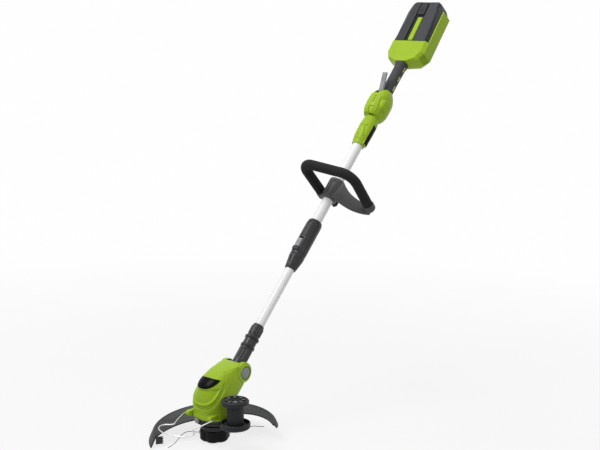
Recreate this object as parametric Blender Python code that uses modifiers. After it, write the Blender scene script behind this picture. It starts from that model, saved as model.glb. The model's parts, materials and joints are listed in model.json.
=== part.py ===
"""Cordless string trimmer, built as separate pieces in metres with +Z up.

The origin is the foot of the feed knob under the line spool. The spool axis is +Z, the
head looks along -Y, and the pole leans away along +Y at its own angle. Pieces on the pole
are placed in the pole frame: its Z runs up the pole, its X is the world X, and its -Y is
the upper side of the pole, called the top side below.
"""
import math

import bmesh
import bpy
from mathutils import Matrix, Vector

# Fits shared by all pieces
SEAT_GAP = 0.0003
RUN_GAP = 0.0006
MERGE_DISTANCE = 0.00001
ROUND = 24
SMALL_ROUND = 14
TINY_ROUND = 8
SHELL_WALL = 0.0028

# Pole
POLE_ANGLE = math.radians(46.1)
PIVOT_Y = 0.0729
PIVOT_Z = 0.1600
TUBE_WALL = 0.0014
UPPER_TUBE_RADIUS = 0.0140
LOWER_TUBE_RADIUS = 0.0120
LOWER_TUBE_START = 0.036
CLAMP_START = 0.3505
CLAMP_LOWER_LENGTH = 0.0445
UPPER_TUBE_START = CLAMP_START + CLAMP_LOWER_LENGTH
UPPER_TUBE_LENGTH = 0.340
UPPER_TUBE_END = UPPER_TUBE_START + UPPER_TUBE_LENGTH
TUBE_OVERLAP = 0.165
LOWER_TUBE_END = UPPER_TUBE_START + TUBE_OVERLAP
KEY_HEAD = 0.014
KEY_STEM = 0.022
LEAD_RADIUS = 0.0024
LEAD_START = 0.050
LEAD_PAST_KEY = 0.010

# Telescopic clamp
CLAMP_UPPER_LENGTH = 0.057
CLAMP_END = UPPER_TUBE_START + CLAMP_UPPER_LENGTH
CLAMP_RADIUS = 0.0205
CLAMP_MOUTH_RADIUS = 0.0162
CLAMP_ROUNDING = 0.016
COLLAR_LENGTH = 0.049
COLLAR_RADIUS = 0.0200
COLLAR_FOOT_RADIUS = 0.0150
BUTTON_START = CLAMP_START + 0.0115
BUTTON_LENGTH = 0.030
BUTTON_WIDTH = 0.013
BUTTON_THICKNESS = 0.0055
BUTTON_PROUD = 0.0028
BUTTON_TRAVEL = 0.002

# Pivot sleeve at the foot of the pole
BARREL_RADIUS = 0.0220
BARREL_HALF = 0.0224
SLEEVE_RADIUS = 0.0168
SLEEVE_NECK = 0.0150
SLEEVE_RING = 0.0018
SLEEVE_END = 0.130
SLEEVE_SHOULDER = 0.078
PIN_RADIUS = 0.0050
PIN_HEAD_RADIUS = 0.0120
PIN_HEAD = 0.0024

# Motor housing
HOUSING_BASE_Z = 0.0645
HOUSING_RADIUS = 0.0490
EAR_HALF_WIDTH = 0.0342
EAR_RADIUS = 0.0260
HOUSING_TOP_Z = 0.1845
SPLIT_SLOPE = math.radians(47.2)
SPLIT_Y = -0.0270
SPLIT_Z = 0.1170
PLATE_WIDTH = 0.058
PLATE_HEIGHT = 0.0138
PLATE_Z = 0.1546
PLATE_Y = -0.0250
PLATE_TILT = math.radians(106.0)
PLATE_THICKNESS = 0.0009
KNOB_RING_RADIUS = 0.0200
KNOB_RING_PROUD = 0.0030
TILT_BUTTON_RADIUS = 0.0148
TILT_BUTTON_PROUD = 0.0040
TILT_BUTTON_TRAVEL = 0.0025
MOTOR_RADIUS = 0.0210
MOTOR_LENGTH = 0.0500
SHAFT_RADIUS = 0.0030
SHAFT_FOOT_Z = 0.0370
SHAFT_IN_MOTOR = 0.0120

# Wire guard
HINGE_Y = -0.0520
HINGE_Z = 0.0750
EAR_INNER_X = 0.0310
EAR_THICKNESS = 0.0110
EAR_NOSE_RADIUS = 0.0075
WIRE_RADIUS = 0.00125
WIRE_ARM_X = 0.0440
WIRE_REACH = 0.1080
WIRE_BOW_X = 0.0520

# Hub under the head
FLANGE_RADIUS = 0.0460
FLANGE_THICKNESS = 0.0080
BRACKET_THICKNESS = 0.0054
BRACKET_BORE = 0.0120
BRACKET_ARM_HALF = 0.0110
GUARD_WALL = 0.0030
GUARD_HUB_RADIUS = 0.0385
HUB_SCREW_RADIUS = 0.0015
HUB_SCREW_CIRCLE = 0.0425
HUB_SCREW_BEARINGS = (math.radians(105.0), math.radians(150.0), math.radians(195.0))
GUARD_KNOB_RADIUS = 0.0075
GUARD_KNOB_PROUD = 0.0065
GUARD_KNOB_BEARING = math.radians(-106.0)

# Debris guard
GUARD_RADIUS = 0.1500
GUARD_HEIGHT_Z = 0.0390
GUARD_REAR_RISE = 0.0110
GUARD_SKIRT = 0.0240
GUARD_TIP_SKIRT = 0.0285
GUARD_TAIL_SKIRT = 0.0090
GUARD_FLARE = 0.40
GUARD_TAIL_ANGLE = math.radians(34.0)
GUARD_TAIL_ROOT = math.radians(92.0)
GUARD_TIP_ROOT = math.radians(207.0)
GUARD_TIP_ANGLE = math.radians(241.0)
GUARD_TIP_WIDTH = 0.0080
GUARD_STEPS = 30
BLADE_HEIGHT = 0.0190
BLADE_LENGTH = 0.0190
BLADE_THICKNESS = 0.0014
BLADE_TEETH = 3

# Edging wheel
WHEEL_X = 0.0862
WHEEL_Y = -0.0188
WHEEL_FOOT_Z = 0.0567
WHEEL_HEIGHT = 0.0700
WHEEL_TOP_RADIUS = 0.0335
WHEEL_NECK_RADIUS = 0.0205
WHEEL_RING_RADIUS = 0.0360
WHEEL_RING_HEIGHT = 0.0145
AXLE_RADIUS = 0.0040
AXLE_HEAD_RADIUS = 0.0075

# Spool group, from the ground up
CAP_FOOT_Z = 0.0030
CAP_TOP_Z = 0.0325
CAP_RADIUS = 0.0368
CAP_LOBE = 0.0022
CAP_LOBES = 6
CAP_WALL = 0.0030
CAP_HOLE_RADIUS = 0.0170
KNOB_TRAVEL = 0.0025
KNOB_RADIUS = 0.0160
KNOB_FOOT_RADIUS = 0.0115
KNOB_STEM_RADIUS = 0.0075
KNOB_STEM_TOP_Z = 0.0200
SPOOL_RADIUS = 0.0290
SPOOL_HUB_RADIUS = 0.0150
SPOOL_BORE = 0.0120
SPOOL_FOOT_Z = CAP_FOOT_Z + CAP_WALL + SEAT_GAP
SPOOL_TOP_Z = CAP_TOP_Z - KNOB_TRAVEL
SPOOL_FLANGE = 0.0015
SPOOL_BASE_RADIUS = 0.0340
SPOOL_BASE_TOP_Z = 0.0455
EYELET_Z = 0.0200
EYELET_BEARING = math.radians(218.0)
EYELET_RADIUS = 0.0036
EYELET_BORE = 0.00120
EYELET_LENGTH = 0.0050
SPRING_RADIUS = 0.0055
SPRING_WIRE = 0.0006
SPRING_TURNS = 3
LINE_DIAMETER = 0.0017

# Auxiliary handle
HANDLE_SEAT = UPPER_TUBE_START + 0.150
HANDLE_TILT = math.radians(8.0)
HANDLE_CLAMP_START = HANDLE_SEAT - 0.022
HANDLE_CLAMP_LENGTH = 0.060
HANDLE_CLAMP_RADIUS = 0.0220
HANDLE_CAP_DEPTH = 0.0090
HANDLE_TUBE_RADIUS = 0.0080
FOAM_RADIUS = 0.0128
HANDLE_LEFT_FOOT = (-0.0325, -0.0050)
HANDLE_LEFT_TOP = (-0.0490, 0.1090)
HANDLE_RIGHT_TOP = (0.1060, 0.0810)
HANDLE_RIGHT_FOOT = (0.1080, -0.0350)
HANDLE_LEFT_BEND = 0.024
HANDLE_RIGHT_BEND = 0.040
HANDLE_SOCKET_WALL = 0.0020
HANDLE_SOCKET_DEPTH = 0.016
HANDLE_ARM_THICKNESS = 0.0080
HAND_KNOB_RADIUS = 0.0095
HAND_KNOB_LENGTH = 0.0125
HAND_KNOB_STUD = 0.0030
HAND_KNOB_UP = 0.011

# Control housing
CONTROL_TUBE_DEPTH = 0.029
CONTROL_START = UPPER_TUBE_END - CONTROL_TUBE_DEPTH
CONTROL_COLLAR_RADIUS = 0.0172
CONTROL_NECK_RADIUS = 0.0228
CONTROL_WAIST_RADIUS = 0.0205
CONTROL_NECK_LENGTH = 0.066
CONTROL_NECK_END = CONTROL_START + CONTROL_NECK_LENGTH
CONTROL_WAIST_LENGTH = 0.027
CONTROL_STEP = CONTROL_NECK_END + CONTROL_WAIST_LENGTH
CONTROL_HALF_WIDTH = 0.0290
CONTROL_HALF_DEPTH = 0.0355
CONTROL_LOW_OFFSET = 0.0020
CONTROL_SHOULDER_LENGTH = 0.023
CONTROL_WIDE_START = CONTROL_STEP + CONTROL_SHOULDER_LENGTH
CONTROL_WIDE_LENGTH = 0.036
CONTROL_WIDE_END = CONTROL_WIDE_START + CONTROL_WIDE_LENGTH
CONTROL_TAPER_LENGTH = 0.030
CONTROL_END = CONTROL_WIDE_END + CONTROL_TAPER_LENGTH
CONTROL_END_RADIUS = 0.0190
CONTROL_END_WALL = 0.0035
STRIP_LENGTH = 0.062
STRIP_WIDTH = 0.016
STRIP_THICKNESS = 0.0010
STRIP_ANGLE = math.radians(6.0)
SIDE_CAP_S = CONTROL_WIDE_START + CONTROL_WIDE_LENGTH * 0.39
SIDE_CAP_T = 0.009
SIDE_CAP_RADIUS = 0.0175
SIDE_CAP_THICKNESS = 0.0045
BOSS_FACE_X = CONTROL_HALF_WIDTH + 0.0010
LEVER_PIVOT_S = CONTROL_END - 0.016
LEVER_PIVOT_T = CONTROL_END_RADIUS
LEVER_REACH = 0.052
LEVER_RISE = 0.0242
LEVER_WIDTH = 0.0130
LEVER_THICKNESS = 0.0060
HINGE_PIN_RADIUS = 0.0016
TRIGGER_PIVOT_S = CONTROL_END - 0.032
TRIGGER_PIVOT_T = -CONTROL_END_RADIUS - 0.0025
TRIGGER_LENGTH = 0.0270
TRIGGER_DEPTH = 0.0140
TRIGGER_WIDTH = 0.0110
SWITCH_LENGTH = 0.026
SWITCH_HEIGHT = 0.018
SWITCH_WIDTH = 0.016
SWITCH_START = TRIGGER_PIVOT_S - SWITCH_LENGTH - 0.003
SWITCH_T = -0.0010
SWITCH_BOSS_RADIUS = 0.0045

# Rear grip
GRIP_CORE_RADIUS = 0.0125
GRIP_CORE_WALL = 0.0030
GRIP_RADIUS = 0.0166
GRIP_CORE_IN_CONTROL = 0.016
GRIP_CORE_IN_BATTERY = 0.014

# Battery housing, in the battery frame
GRIP_LENGTH = 0.112
BATTERY_SEAT = CONTROL_END + GRIP_LENGTH
BATTERY_TILT = math.radians(4.0)
CRADLE_START = -0.0065
CRADLE_HALF_WIDTH = 0.0620
CRADLE_FRONT = 0.0170
CRADLE_BACK = -0.0390
CRADLE_CHAMFER = 0.0090
CRADLE_END = 0.1730
CRADLE_SHOULDER = 0.0300
BAY_START = 0.0640
RAIL_TOP = 0.0070
CRADLE_WALL = 0.0035
COVER_SPLIT = 0.0010
BATTERY_LENGTH = 0.1370
BATTERY_FACE = 0.0180
BATTERY_FACE_HALF = 0.0500
BATTERY_TOP_HALF = 0.0400
BATTERY_SHOULDER = 0.0300
BATTERY_TAPER = 0.0150
BATTERY_LEFT_TAPER = 0.0040
BATTERY_WALL = 0.0030
CHANNEL_WIDTH = 0.0300
CHANNEL_DEPTH = 0.0035
CHANNEL_X = -0.0040
RIB_WIDTH = 0.0150
RIB_LENGTH = 0.0800
RIB_HEIGHT = 0.0055
LATCH_LENGTH = 0.0400
LATCH_WIDTH = 0.0220
LATCH_THICKNESS = 0.0045
CELL_RADIUS = 0.0092
CELL_LENGTH = 0.0650
CELL_COUNT = 5
CELL_ROWS = 2
TERMINAL_COUNT = 3
TERMINAL_REACH = 0.0120
TERMINAL_SPACING = 0.018
TERMINAL_THICKNESS = 0.0010
TERMINAL_WIDTH = 0.008
TERMINAL_DEPTH = 0.006
TERMINAL_BLOCK = 0.010

# Screws
SCREW_HEAD_RADIUS = 0.0030
SCREW_HEAD = 0.0020
SCREW_SHANK_RADIUS = 0.0014

GREEN = (0.46, 0.68, 0.06)
CHARCOAL = (0.075, 0.075, 0.085)
BLACK = (0.02, 0.02, 0.022)


def start_scene():
    """Remove what the file holds and make the two collections."""
    for item in list(bpy.data.objects):
        bpy.data.objects.remove(item, do_unlink=True)
    for name in ("string_trimmer", "trimmer_cutters"):
        group = bpy.data.collections.get(name) or bpy.data.collections.new(name)
        if group.name not in bpy.context.scene.collection.children:
            bpy.context.scene.collection.children.link(group)


def finish(name, colour, roughness, metallic=0.0):
    """Give one plain finish as a Principled material."""
    look = bpy.data.materials.get(name)
    if look is None:
        look = bpy.data.materials.new(name)
        look.use_nodes = True
        shader = look.node_tree.nodes["Principled BSDF"]
        shader.inputs["Base Color"].default_value = (*colour, 1.0)
        shader.inputs["Roughness"].default_value = roughness
        shader.inputs["Metallic"].default_value = metallic
    return look


def frame_at(name, parent, location, tilt):
    """Add an empty that carries pieces, turned about X by tilt."""
    empty = bpy.data.objects.new(name, None)
    bpy.data.collections["string_trimmer"].objects.link(empty)
    empty.parent = parent
    empty.location = location
    empty.rotation_euler = (tilt, 0.0, 0.0)
    return empty


def add_piece(name, mesh, look, parent=None, location=(0.0, 0.0, 0.0), rotation=(0.0, 0.0, 0.0)):
    """Make one named piece from a mesh, with a material of its own; like pieces share their mesh."""
    if not mesh.materials:
        mesh.name = name
        mesh.materials.append(finish(name + "_finish", *look))
        mesh.shade_smooth()
        mesh.set_sharp_from_angle(angle=math.radians(35.0))
    piece = bpy.data.objects.new(name, mesh)
    bpy.data.collections["string_trimmer"].objects.link(piece)
    piece.parent = parent
    piece.location = location
    piece.rotation_euler = rotation
    return piece


def add_cutter(name, mesh, parent=None, location=(0.0, 0.0, 0.0), rotation=(0.0, 0.0, 0.0)):
    """Make one hidden tool body for Booleans."""
    cutter = bpy.data.objects.new(name, mesh)
    bpy.data.collections["trimmer_cutters"].objects.link(cutter)
    cutter.parent = parent
    cutter.location = location
    cutter.rotation_euler = rotation
    cutter.hide_render = True
    cutter.display_type = "WIRE"
    return cutter


def combine(piece, cutter, operation="DIFFERENCE"):
    """Cut, join or intersect a piece with a cutter."""
    step = piece.modifiers.new(cutter.name, "BOOLEAN")
    step.operation = operation
    step.solver = "EXACT"
    step.object = cutter


def soften(piece, width, segments=2):
    """Round the sharp edges of a piece."""
    bevel = piece.modifiers.new("rounding", "BEVEL")
    bevel.width = width
    bevel.segments = segments
    bevel.limit_method = "ANGLE"
    bevel.angle_limit = math.radians(40.0)


def read_mesh(item):
    """Return the evaluated mesh of a loose object, welded and facing out, and drop the object."""
    bpy.context.scene.collection.objects.link(item)
    bpy.context.view_layer.update()
    graph = bpy.context.evaluated_depsgraph_get()
    mesh = bpy.data.meshes.new_from_object(item.evaluated_get(graph))
    bpy.data.objects.remove(item, do_unlink=True)
    return weld(mesh)


def weld(mesh):
    """Merge doubled points and turn the faces outwards."""
    body = bmesh.new()
    body.from_mesh(mesh)
    bmesh.ops.remove_doubles(body, verts=body.verts, dist=MERGE_DISTANCE)
    bmesh.ops.recalc_face_normals(body, faces=body.faces)
    body.to_mesh(mesh)
    body.free()
    return mesh


def turned(profile, segments=ROUND, closed=True):
    """Turn a profile of (radius, height) about Z, given top to bottom on its outer side."""
    mesh = bpy.data.meshes.new("turned")
    edges = [(index, index + 1) for index in range(len(profile) - 1)]
    if closed:
        edges.append((len(profile) - 1, 0))
    mesh.from_pydata([(radius, 0.0, height) for radius, height in profile], edges, [])
    item = bpy.data.objects.new("turned", mesh)
    screw = item.modifiers.new("turn", "SCREW")
    screw.steps = segments
    screw.render_steps = segments
    screw.use_merge_vertices = True
    screw.merge_threshold = MERGE_DISTANCE
    return read_mesh(item)


def sleeve(outer, inner, low, high, segments=ROUND):
    """Turn a plain tube about Z."""
    return turned([(outer, high), (outer, low), (inner, low), (inner, high)], segments)


def disc(radius, low, high, segments=ROUND):
    """Make a solid cylinder about Z."""
    body = bmesh.new()
    place = Matrix.Translation((0.0, 0.0, (low + high) / 2.0))
    bmesh.ops.create_cone(body, cap_ends=True, segments=segments, radius1=radius, radius2=radius,
                          depth=high - low, matrix=place)
    return to_mesh(body)


def block(low, high):
    """Make a box between two corners."""
    body = bmesh.new()
    size = [b - a for a, b in zip(low, high)]
    centre = [(a + b) / 2.0 for a, b in zip(low, high)]
    place = Matrix.Translation(centre) @ Matrix.Diagonal((*size, 1.0))
    bmesh.ops.create_cube(body, size=1.0, matrix=place)
    return to_mesh(body)


def to_mesh(body):
    """Close a bmesh into a mesh datablock."""
    mesh = bpy.data.meshes.new("body")
    bmesh.ops.recalc_face_normals(body, faces=body.faces)
    body.to_mesh(mesh)
    body.free()
    return mesh


def loft(rings, ring_closed=False):
    """Skin a row of rings with equal point counts; the ends are capped or joined together."""
    body = bmesh.new()
    rows = [[body.verts.new(point) for point in ring] for ring in rings]
    pairs = list(zip(rows, rows[1:]))
    if ring_closed:
        pairs.append((rows[-1], rows[0]))
    for first, second in pairs:
        count = len(first)
        for index in range(count):
            follow = (index + 1) % count
            body.faces.new((first[index], first[follow], second[follow], second[index]))
    if not ring_closed:
        body.faces.new(rows[0])
        body.faces.new(rows[-1])
    return to_mesh(body)


def flat(outline, thickness, holes=()):
    """Fill a flat outline in XY, thickened evenly about its plane."""
    curve = bpy.data.curves.new("flat", "CURVE")
    curve.dimensions = "2D"
    curve.fill_mode = "BOTH"
    curve.extrude = thickness / 2.0
    for points in (outline, *holes):
        spline = curve.splines.new("POLY")
        spline.points.add(len(points) - 1)
        for knot, point in zip(spline.points, points):
            knot.co = (point[0], point[1], 0.0, 1.0)
        spline.use_cyclic_u = True
    return read_mesh(bpy.data.objects.new("flat", curve))


def tube(points, radius, resolution=2):
    """Run a round solid along a row of points."""
    curve = bpy.data.curves.new("tube", "CURVE")
    curve.dimensions = "3D"
    curve.bevel_depth = radius
    curve.bevel_resolution = resolution
    curve.use_fill_caps = True
    spline = curve.splines.new("POLY")
    spline.points.add(len(points) - 1)
    for knot, point in zip(spline.points, points):
        knot.co = (*point, 1.0)
    return read_mesh(bpy.data.objects.new("tube", curve))


def gather(bodies):
    """Join (mesh, matrix) pairs into one mesh of separate bodies."""
    body = bmesh.new()
    for mesh, place in bodies:
        copy = mesh.copy()
        copy.transform(place)
        body.from_mesh(copy)
        bpy.data.meshes.remove(copy)
    mesh = bpy.data.meshes.new("group")
    body.to_mesh(mesh)
    body.free()
    return mesh


def arc(centre, radius, start, end, steps):
    """Return points of an arc in a plane, angles in radians."""
    points = []
    for index in range(steps + 1):
        angle = start + (end - start) * index / steps
        points.append((centre[0] + radius * math.cos(angle), centre[1] + radius * math.sin(angle)))
    return points


def rounded_path(corners, radii, steps=6):
    """Return a planar path through corners, with an arc of its own radius at each inner corner."""
    path = [Vector(corners[0])]
    for before, corner, after, radius in zip(corners, corners[1:], corners[2:], radii):
        here = Vector(corner)
        to_before = (Vector(before) - here).normalized()
        to_after = (Vector(after) - here).normalized()
        half = to_before.angle(to_after) / 2.0
        centre = here + (to_before + to_after).normalized() * (radius / math.sin(half))
        start = here + to_before * (radius / math.tan(half)) - centre
        end = here + to_after * (radius / math.tan(half)) - centre
        first = math.atan2(start.y, start.x)
        sweep = math.atan2(start.cross(end), start.dot(end))
        path += [Vector(point) for point in arc(centre, radius, first, first + sweep, steps)]
    path.append(Vector(corners[-1]))
    return path


def smooth_route(points, spacing):
    """Return evenly spaced points on a smooth curve through the route's own points."""
    knots = [Vector(point) for point in points]
    knots = [2.0 * knots[0] - knots[1]] + knots + [2.0 * knots[-1] - knots[-2]]
    fine = []
    for index in range(1, len(knots) - 2):
        a, b, c, d = knots[index - 1:index + 3]
        steps = max(2, round((c - b).length / spacing))
        for step in range(steps):
            u = step / steps
            bend = (2.0 * b + (c - a) * u + (2.0 * a - 5.0 * b + 4.0 * c - d) * u ** 2
                    + (3.0 * b - a - 3.0 * c + d) * u ** 3)
            fine.append(bend / 2.0)
    fine.append(knots[-2])
    return fine


def superellipse(half_x, half_y, centre_y, power, count, start=0.0, end=2.0 * math.pi):
    """Return points of a rounded section about (0, centre_y)."""
    points = []
    for index in range(count):
        angle = start + (end - start) * index / count
        cosine = math.cos(angle)
        sine = math.sin(angle)
        x = half_x * math.copysign(abs(cosine) ** (2.0 / power), cosine)
        y = half_y * math.copysign(abs(sine) ** (2.0 / power), sine)
        points.append((x, centre_y + y))
    return points


def screw_mesh(length):
    """Turn one pan-head screw: head above zero, shank below."""
    return turned([(0.0, SCREW_HEAD), (SCREW_HEAD_RADIUS, SCREW_HEAD), (SCREW_HEAD_RADIUS, 0.0),
                   (SCREW_SHANK_RADIUS, 0.0), (SCREW_SHANK_RADIUS, -length), (0.0, -length)],
                  TINY_ROUND, closed=False)


def screw_hole_mesh(length):
    """Turn the clearance body of one screw, open well past its head."""
    head = SCREW_HEAD_RADIUS + SEAT_GAP
    shank = SCREW_SHANK_RADIUS + SEAT_GAP
    tall = SCREW_HEAD * 6.0
    return turned([(0.0, tall), (head, tall), (head, -SEAT_GAP), (shank, -SEAT_GAP),
                   (shank, -length - SEAT_GAP), (0.0, -length - SEAT_GAP)], TINY_ROUND, closed=False)


def add_screws(name, spots, length, hosts):
    """Place like screws, each its own piece with its head along +Z of its spot, and cut their holes."""
    look = ((0.30, 0.30, 0.31), 0.35, 1.0)
    mesh = screw_mesh(length)
    for index, spot in enumerate(spots, start=1):
        add_piece(f"{name}_{index}", mesh, look, None, spot.to_translation(), spot.to_euler())
    hole = screw_hole_mesh(length)
    cutter = add_cutter(name + "_holes", gather([(hole, spot) for spot in spots]))
    for host in hosts:
        combine(host, cutter)


def half_shell(stations, side, outer_points=9):
    """Loft one half of a shell along Z; a station is (height, outer, inner).

    outer and inner are (half width, half depth, centre depth, power); depth is towards -Y.
    """
    rings = []
    for height, outer, inner in stations:
        ring = half_section(outer, outer_points, side, height)
        ring += reversed(half_section(inner, outer_points, side, height))
        rings.append(ring)
    return loft(rings)


def half_section(shape, count, side, height):
    """Return the half of one rounded section on one side of X = 0."""
    half_x, half_depth, centre, power = shape
    points = []
    for index in range(count):
        angle = math.pi * (index / (count - 1) - 0.5)
        cosine = max(math.cos(angle), 0.0)
        sine = math.sin(angle)
        x = max(half_x * cosine ** (2.0 / power), SEAT_GAP / 2.0)
        depth = centre + half_depth * math.copysign(abs(sine) ** (2.0 / power), sine)
        points.append(Vector((side * x, -depth, height)))
    return points


def circle_shape(radius):
    """Return a round section for a half shell."""
    return (radius, radius, 0.0, 2.0)


def axis_to_x():
    """Return the matrix that turns Z to X."""
    return Matrix.Rotation(math.pi / 2.0, 4, "Y")


def make_tubes(pole):
    """Make the two telescoping tubes, the key in the lower one and the lead inside."""
    bright = ((0.80, 0.81, 0.83), 0.32, 1.0)
    length = UPPER_TUBE_END - UPPER_TUBE_START
    add_piece("upper_tube", sleeve(UPPER_TUBE_RADIUS, UPPER_TUBE_RADIUS - TUBE_WALL, 0.0, length),
              bright, pole, (0.0, 0.0, UPPER_TUBE_START))
    length = LOWER_TUBE_END - LOWER_TUBE_START
    bore = LOWER_TUBE_RADIUS - TUBE_WALL
    add_piece("lower_tube", sleeve(LOWER_TUBE_RADIUS, bore, 0.0, length),
              bright, pole, (0.0, 0.0, LOWER_TUBE_START))
    head = UPPER_TUBE_RADIUS - TUBE_WALL - SEAT_GAP
    stem = bore - SEAT_GAP
    hole = LEAD_RADIUS + RUN_GAP
    profile = [(head, KEY_HEAD), (head, SEAT_GAP), (stem, SEAT_GAP), (stem, -KEY_STEM), (hole, -KEY_STEM),
               (hole, KEY_HEAD)]
    add_piece("shaft_key", turned(profile, ROUND), ((0.55, 0.55, 0.52), 0.5), pole,
              (0.0, 0.0, LOWER_TUBE_END))
    lead_end = LOWER_TUBE_END + KEY_HEAD + LEAD_PAST_KEY
    add_piece("power_lead", tube([(0.0, 0.0, LEAD_START), (0.0, 0.0, lead_end)], LEAD_RADIUS),
              (BLACK, 0.6), pole)


def clamp_stations():
    """List the sections of the telescopic clamp shell from foot to mouth."""
    tight = circle_shape(LOWER_TUBE_RADIUS + SEAT_GAP)
    wide = circle_shape(UPPER_TUBE_RADIUS + SEAT_GAP)
    step = UPPER_TUBE_START - SEAT_GAP
    body = circle_shape(CLAMP_RADIUS)
    shoulder = circle_shape((CLAMP_RADIUS * 2.0 + CLAMP_MOUTH_RADIUS) / 3.0)
    return [(CLAMP_START, circle_shape(CLAMP_RADIUS - SEAT_GAP), tight),
            (step, body, tight),
            (step + MERGE_DISTANCE * 5.0, body, wide),
            (CLAMP_END - CLAMP_ROUNDING, body, wide),
            (CLAMP_END - CLAMP_ROUNDING / 3.0, shoulder, wide),
            (CLAMP_END, circle_shape(CLAMP_MOUTH_RADIUS), wide)]


def make_shaft_clamp(pole):
    """Make the split clamp body, the twist collar and the turn button."""
    dark = (CHARCOAL, 0.42)
    halves = []
    for side, word in ((-1.0, "left"), (1.0, "right")):
        halves.append(add_piece("shaft_clamp_" + word, half_shell(clamp_stations(), side), dark, pole))
    floor = CLAMP_RADIUS + BUTTON_PROUD - BUTTON_THICKNESS
    half = BUTTON_WIDTH / 2.0
    button = block((-half, -CLAMP_RADIUS - BUTTON_PROUD, 0.0), (half, -floor, BUTTON_LENGTH))
    piece = add_piece("turn_button", button, ((0.62, 0.63, 0.64), 0.45), pole, (0.0, 0.0, BUTTON_START))
    soften(piece, BUTTON_THICKNESS / 5.0)
    pocket_floor = floor - BUTTON_TRAVEL - SEAT_GAP
    low = (-half - SEAT_GAP, -CLAMP_RADIUS * 2.0, BUTTON_START - SEAT_GAP)
    high = (half + SEAT_GAP, -pocket_floor, BUTTON_START + BUTTON_LENGTH + SEAT_GAP)
    pocket = add_cutter("button_pocket", block(low, high), pole)
    for half_body in halves:
        combine(half_body, pocket)
    bore = LOWER_TUBE_RADIUS + RUN_GAP / 2.0
    profile = [(COLLAR_RADIUS, COLLAR_LENGTH), (COLLAR_RADIUS, COLLAR_LENGTH * 0.72),
               (COLLAR_FOOT_RADIUS, COLLAR_LENGTH * 0.04), (COLLAR_FOOT_RADIUS * 0.94, 0.0),
               (bore, 0.0), (bore, COLLAR_LENGTH)]
    add_piece("twist_collar", turned(profile), dark, pole,
              (0.0, 0.0, CLAMP_START - COLLAR_LENGTH - SEAT_GAP))


def make_pivot_sleeve(pole):
    """Make the sleeve that holds the foot of the pole, its pivot barrel and the pin through it."""
    ring = SLEEVE_RADIUS + SLEEVE_RING
    step = SLEEVE_RING * 3.0
    shoulder = SLEEVE_SHOULDER
    profile = [(0.0, SLEEVE_END), (SLEEVE_NECK * 0.92, SLEEVE_END), (SLEEVE_NECK, SLEEVE_END - step)]
    profile.append((SLEEVE_NECK, shoulder + 4.0 * step))
    for index in (3, 1):
        profile.append((ring, shoulder + index * step))
        profile.append((ring, shoulder + (index - 1) * step))
        profile.append((SLEEVE_NECK, shoulder + (index - 1.3) * step))
    profile.append((SLEEVE_RADIUS, shoulder - 2.0 * step))
    profile += [(SLEEVE_RADIUS, 0.0), (0.0, 0.0)]
    body = add_piece("pivot_sleeve", turned(profile, ROUND, closed=False), (CHARCOAL, 0.45), pole)
    barrel = disc(BARREL_RADIUS, -BARREL_HALF, BARREL_HALF)
    combine(body, add_cutter("sleeve_barrel", barrel, pole, rotation=(0.0, math.pi / 2.0, 0.0)), "UNION")
    socket = disc(LOWER_TUBE_RADIUS + SEAT_GAP, LOWER_TUBE_START - SEAT_GAP, SLEEVE_END * 1.2)
    combine(body, add_cutter("sleeve_socket", socket, pole))
    reach = EAR_HALF_WIDTH * 2.0
    hole = disc(PIN_RADIUS + SEAT_GAP, -reach, reach, SMALL_ROUND)
    combine(body, add_cutter("pin_hole", hole, pole, rotation=(0.0, math.pi / 2.0, 0.0)))
    end = EAR_HALF_WIDTH - TILT_BUTTON_PROUD - TILT_BUTTON_TRAVEL
    seat = -EAR_HALF_WIDTH
    profile = [(0.0, end), (PIN_RADIUS, end), (PIN_RADIUS, seat), (PIN_HEAD_RADIUS, seat),
               (PIN_HEAD_RADIUS * 0.9, seat - PIN_HEAD), (0.0, seat - PIN_HEAD)]
    add_piece("pivot_pin", turned(profile, SMALL_ROUND, closed=False), ((0.55, 0.56, 0.58), 0.3, 1.0), None,
              (0.0, PIVOT_Y, PIVOT_Z), (0.0, math.pi / 2.0, 0.0))


def housing_rows(inset):
    """List (height, front, back, half width) rows of the motor housing, drawn in by inset."""
    ear_back = PIVOT_Y + EAR_RADIUS
    top = HOUSING_TOP_Z
    span = top - HOUSING_BASE_Z
    radius = HOUSING_RADIUS
    rows = [(0.00, -radius * 0.96, radius * 0.96, radius * 0.96),
            (0.06, -radius * 1.03, radius * 1.00, radius * 1.00),
            (0.16, -radius * 0.99, radius * 0.99, radius * 0.97),
            (0.32, -radius * 1.02, radius * 1.02, radius * 0.96),
            (0.46, -radius * 1.02, PIVOT_Y * 0.96, radius * 0.94),
            (0.61, -radius * 0.91, PIVOT_Y + EAR_RADIUS * 0.75, radius * 0.87),
            (0.75, -radius * 0.66, ear_back * 0.995, radius * 0.79),
            (0.88, -radius * 0.14, ear_back * 0.985, EAR_HALF_WIDTH),
            (0.955, PIVOT_Y * 0.38, PIVOT_Y + EAR_RADIUS * 0.66, EAR_HALF_WIDTH * 0.95),
            (1.00, PIVOT_Y * 0.76, PIVOT_Y + EAR_RADIUS * 0.26, EAR_HALF_WIDTH * 0.86)]
    return [(HOUSING_BASE_Z + span * share, front + inset, back - inset, half - inset)
            for share, front, back, half in rows]


def housing_form(rows, back_limit=1.0, count=24):
    """Loft a form through rows of the motor housing; nothing lies behind back_limit."""
    rings = []
    for height, front, back, half in rows:
        section = superellipse(half, (back - front) / 2.0, (back + front) / 2.0, 2.4, count)
        rings.append([Vector((x, min(y, back_limit), height)) for x, y in section])
    return loft(rings)


def housing_body(inset):
    """Loft the motor housing's outer form, drawn in by inset or grown where inset is negative."""
    return housing_form(housing_rows(inset))


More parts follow.
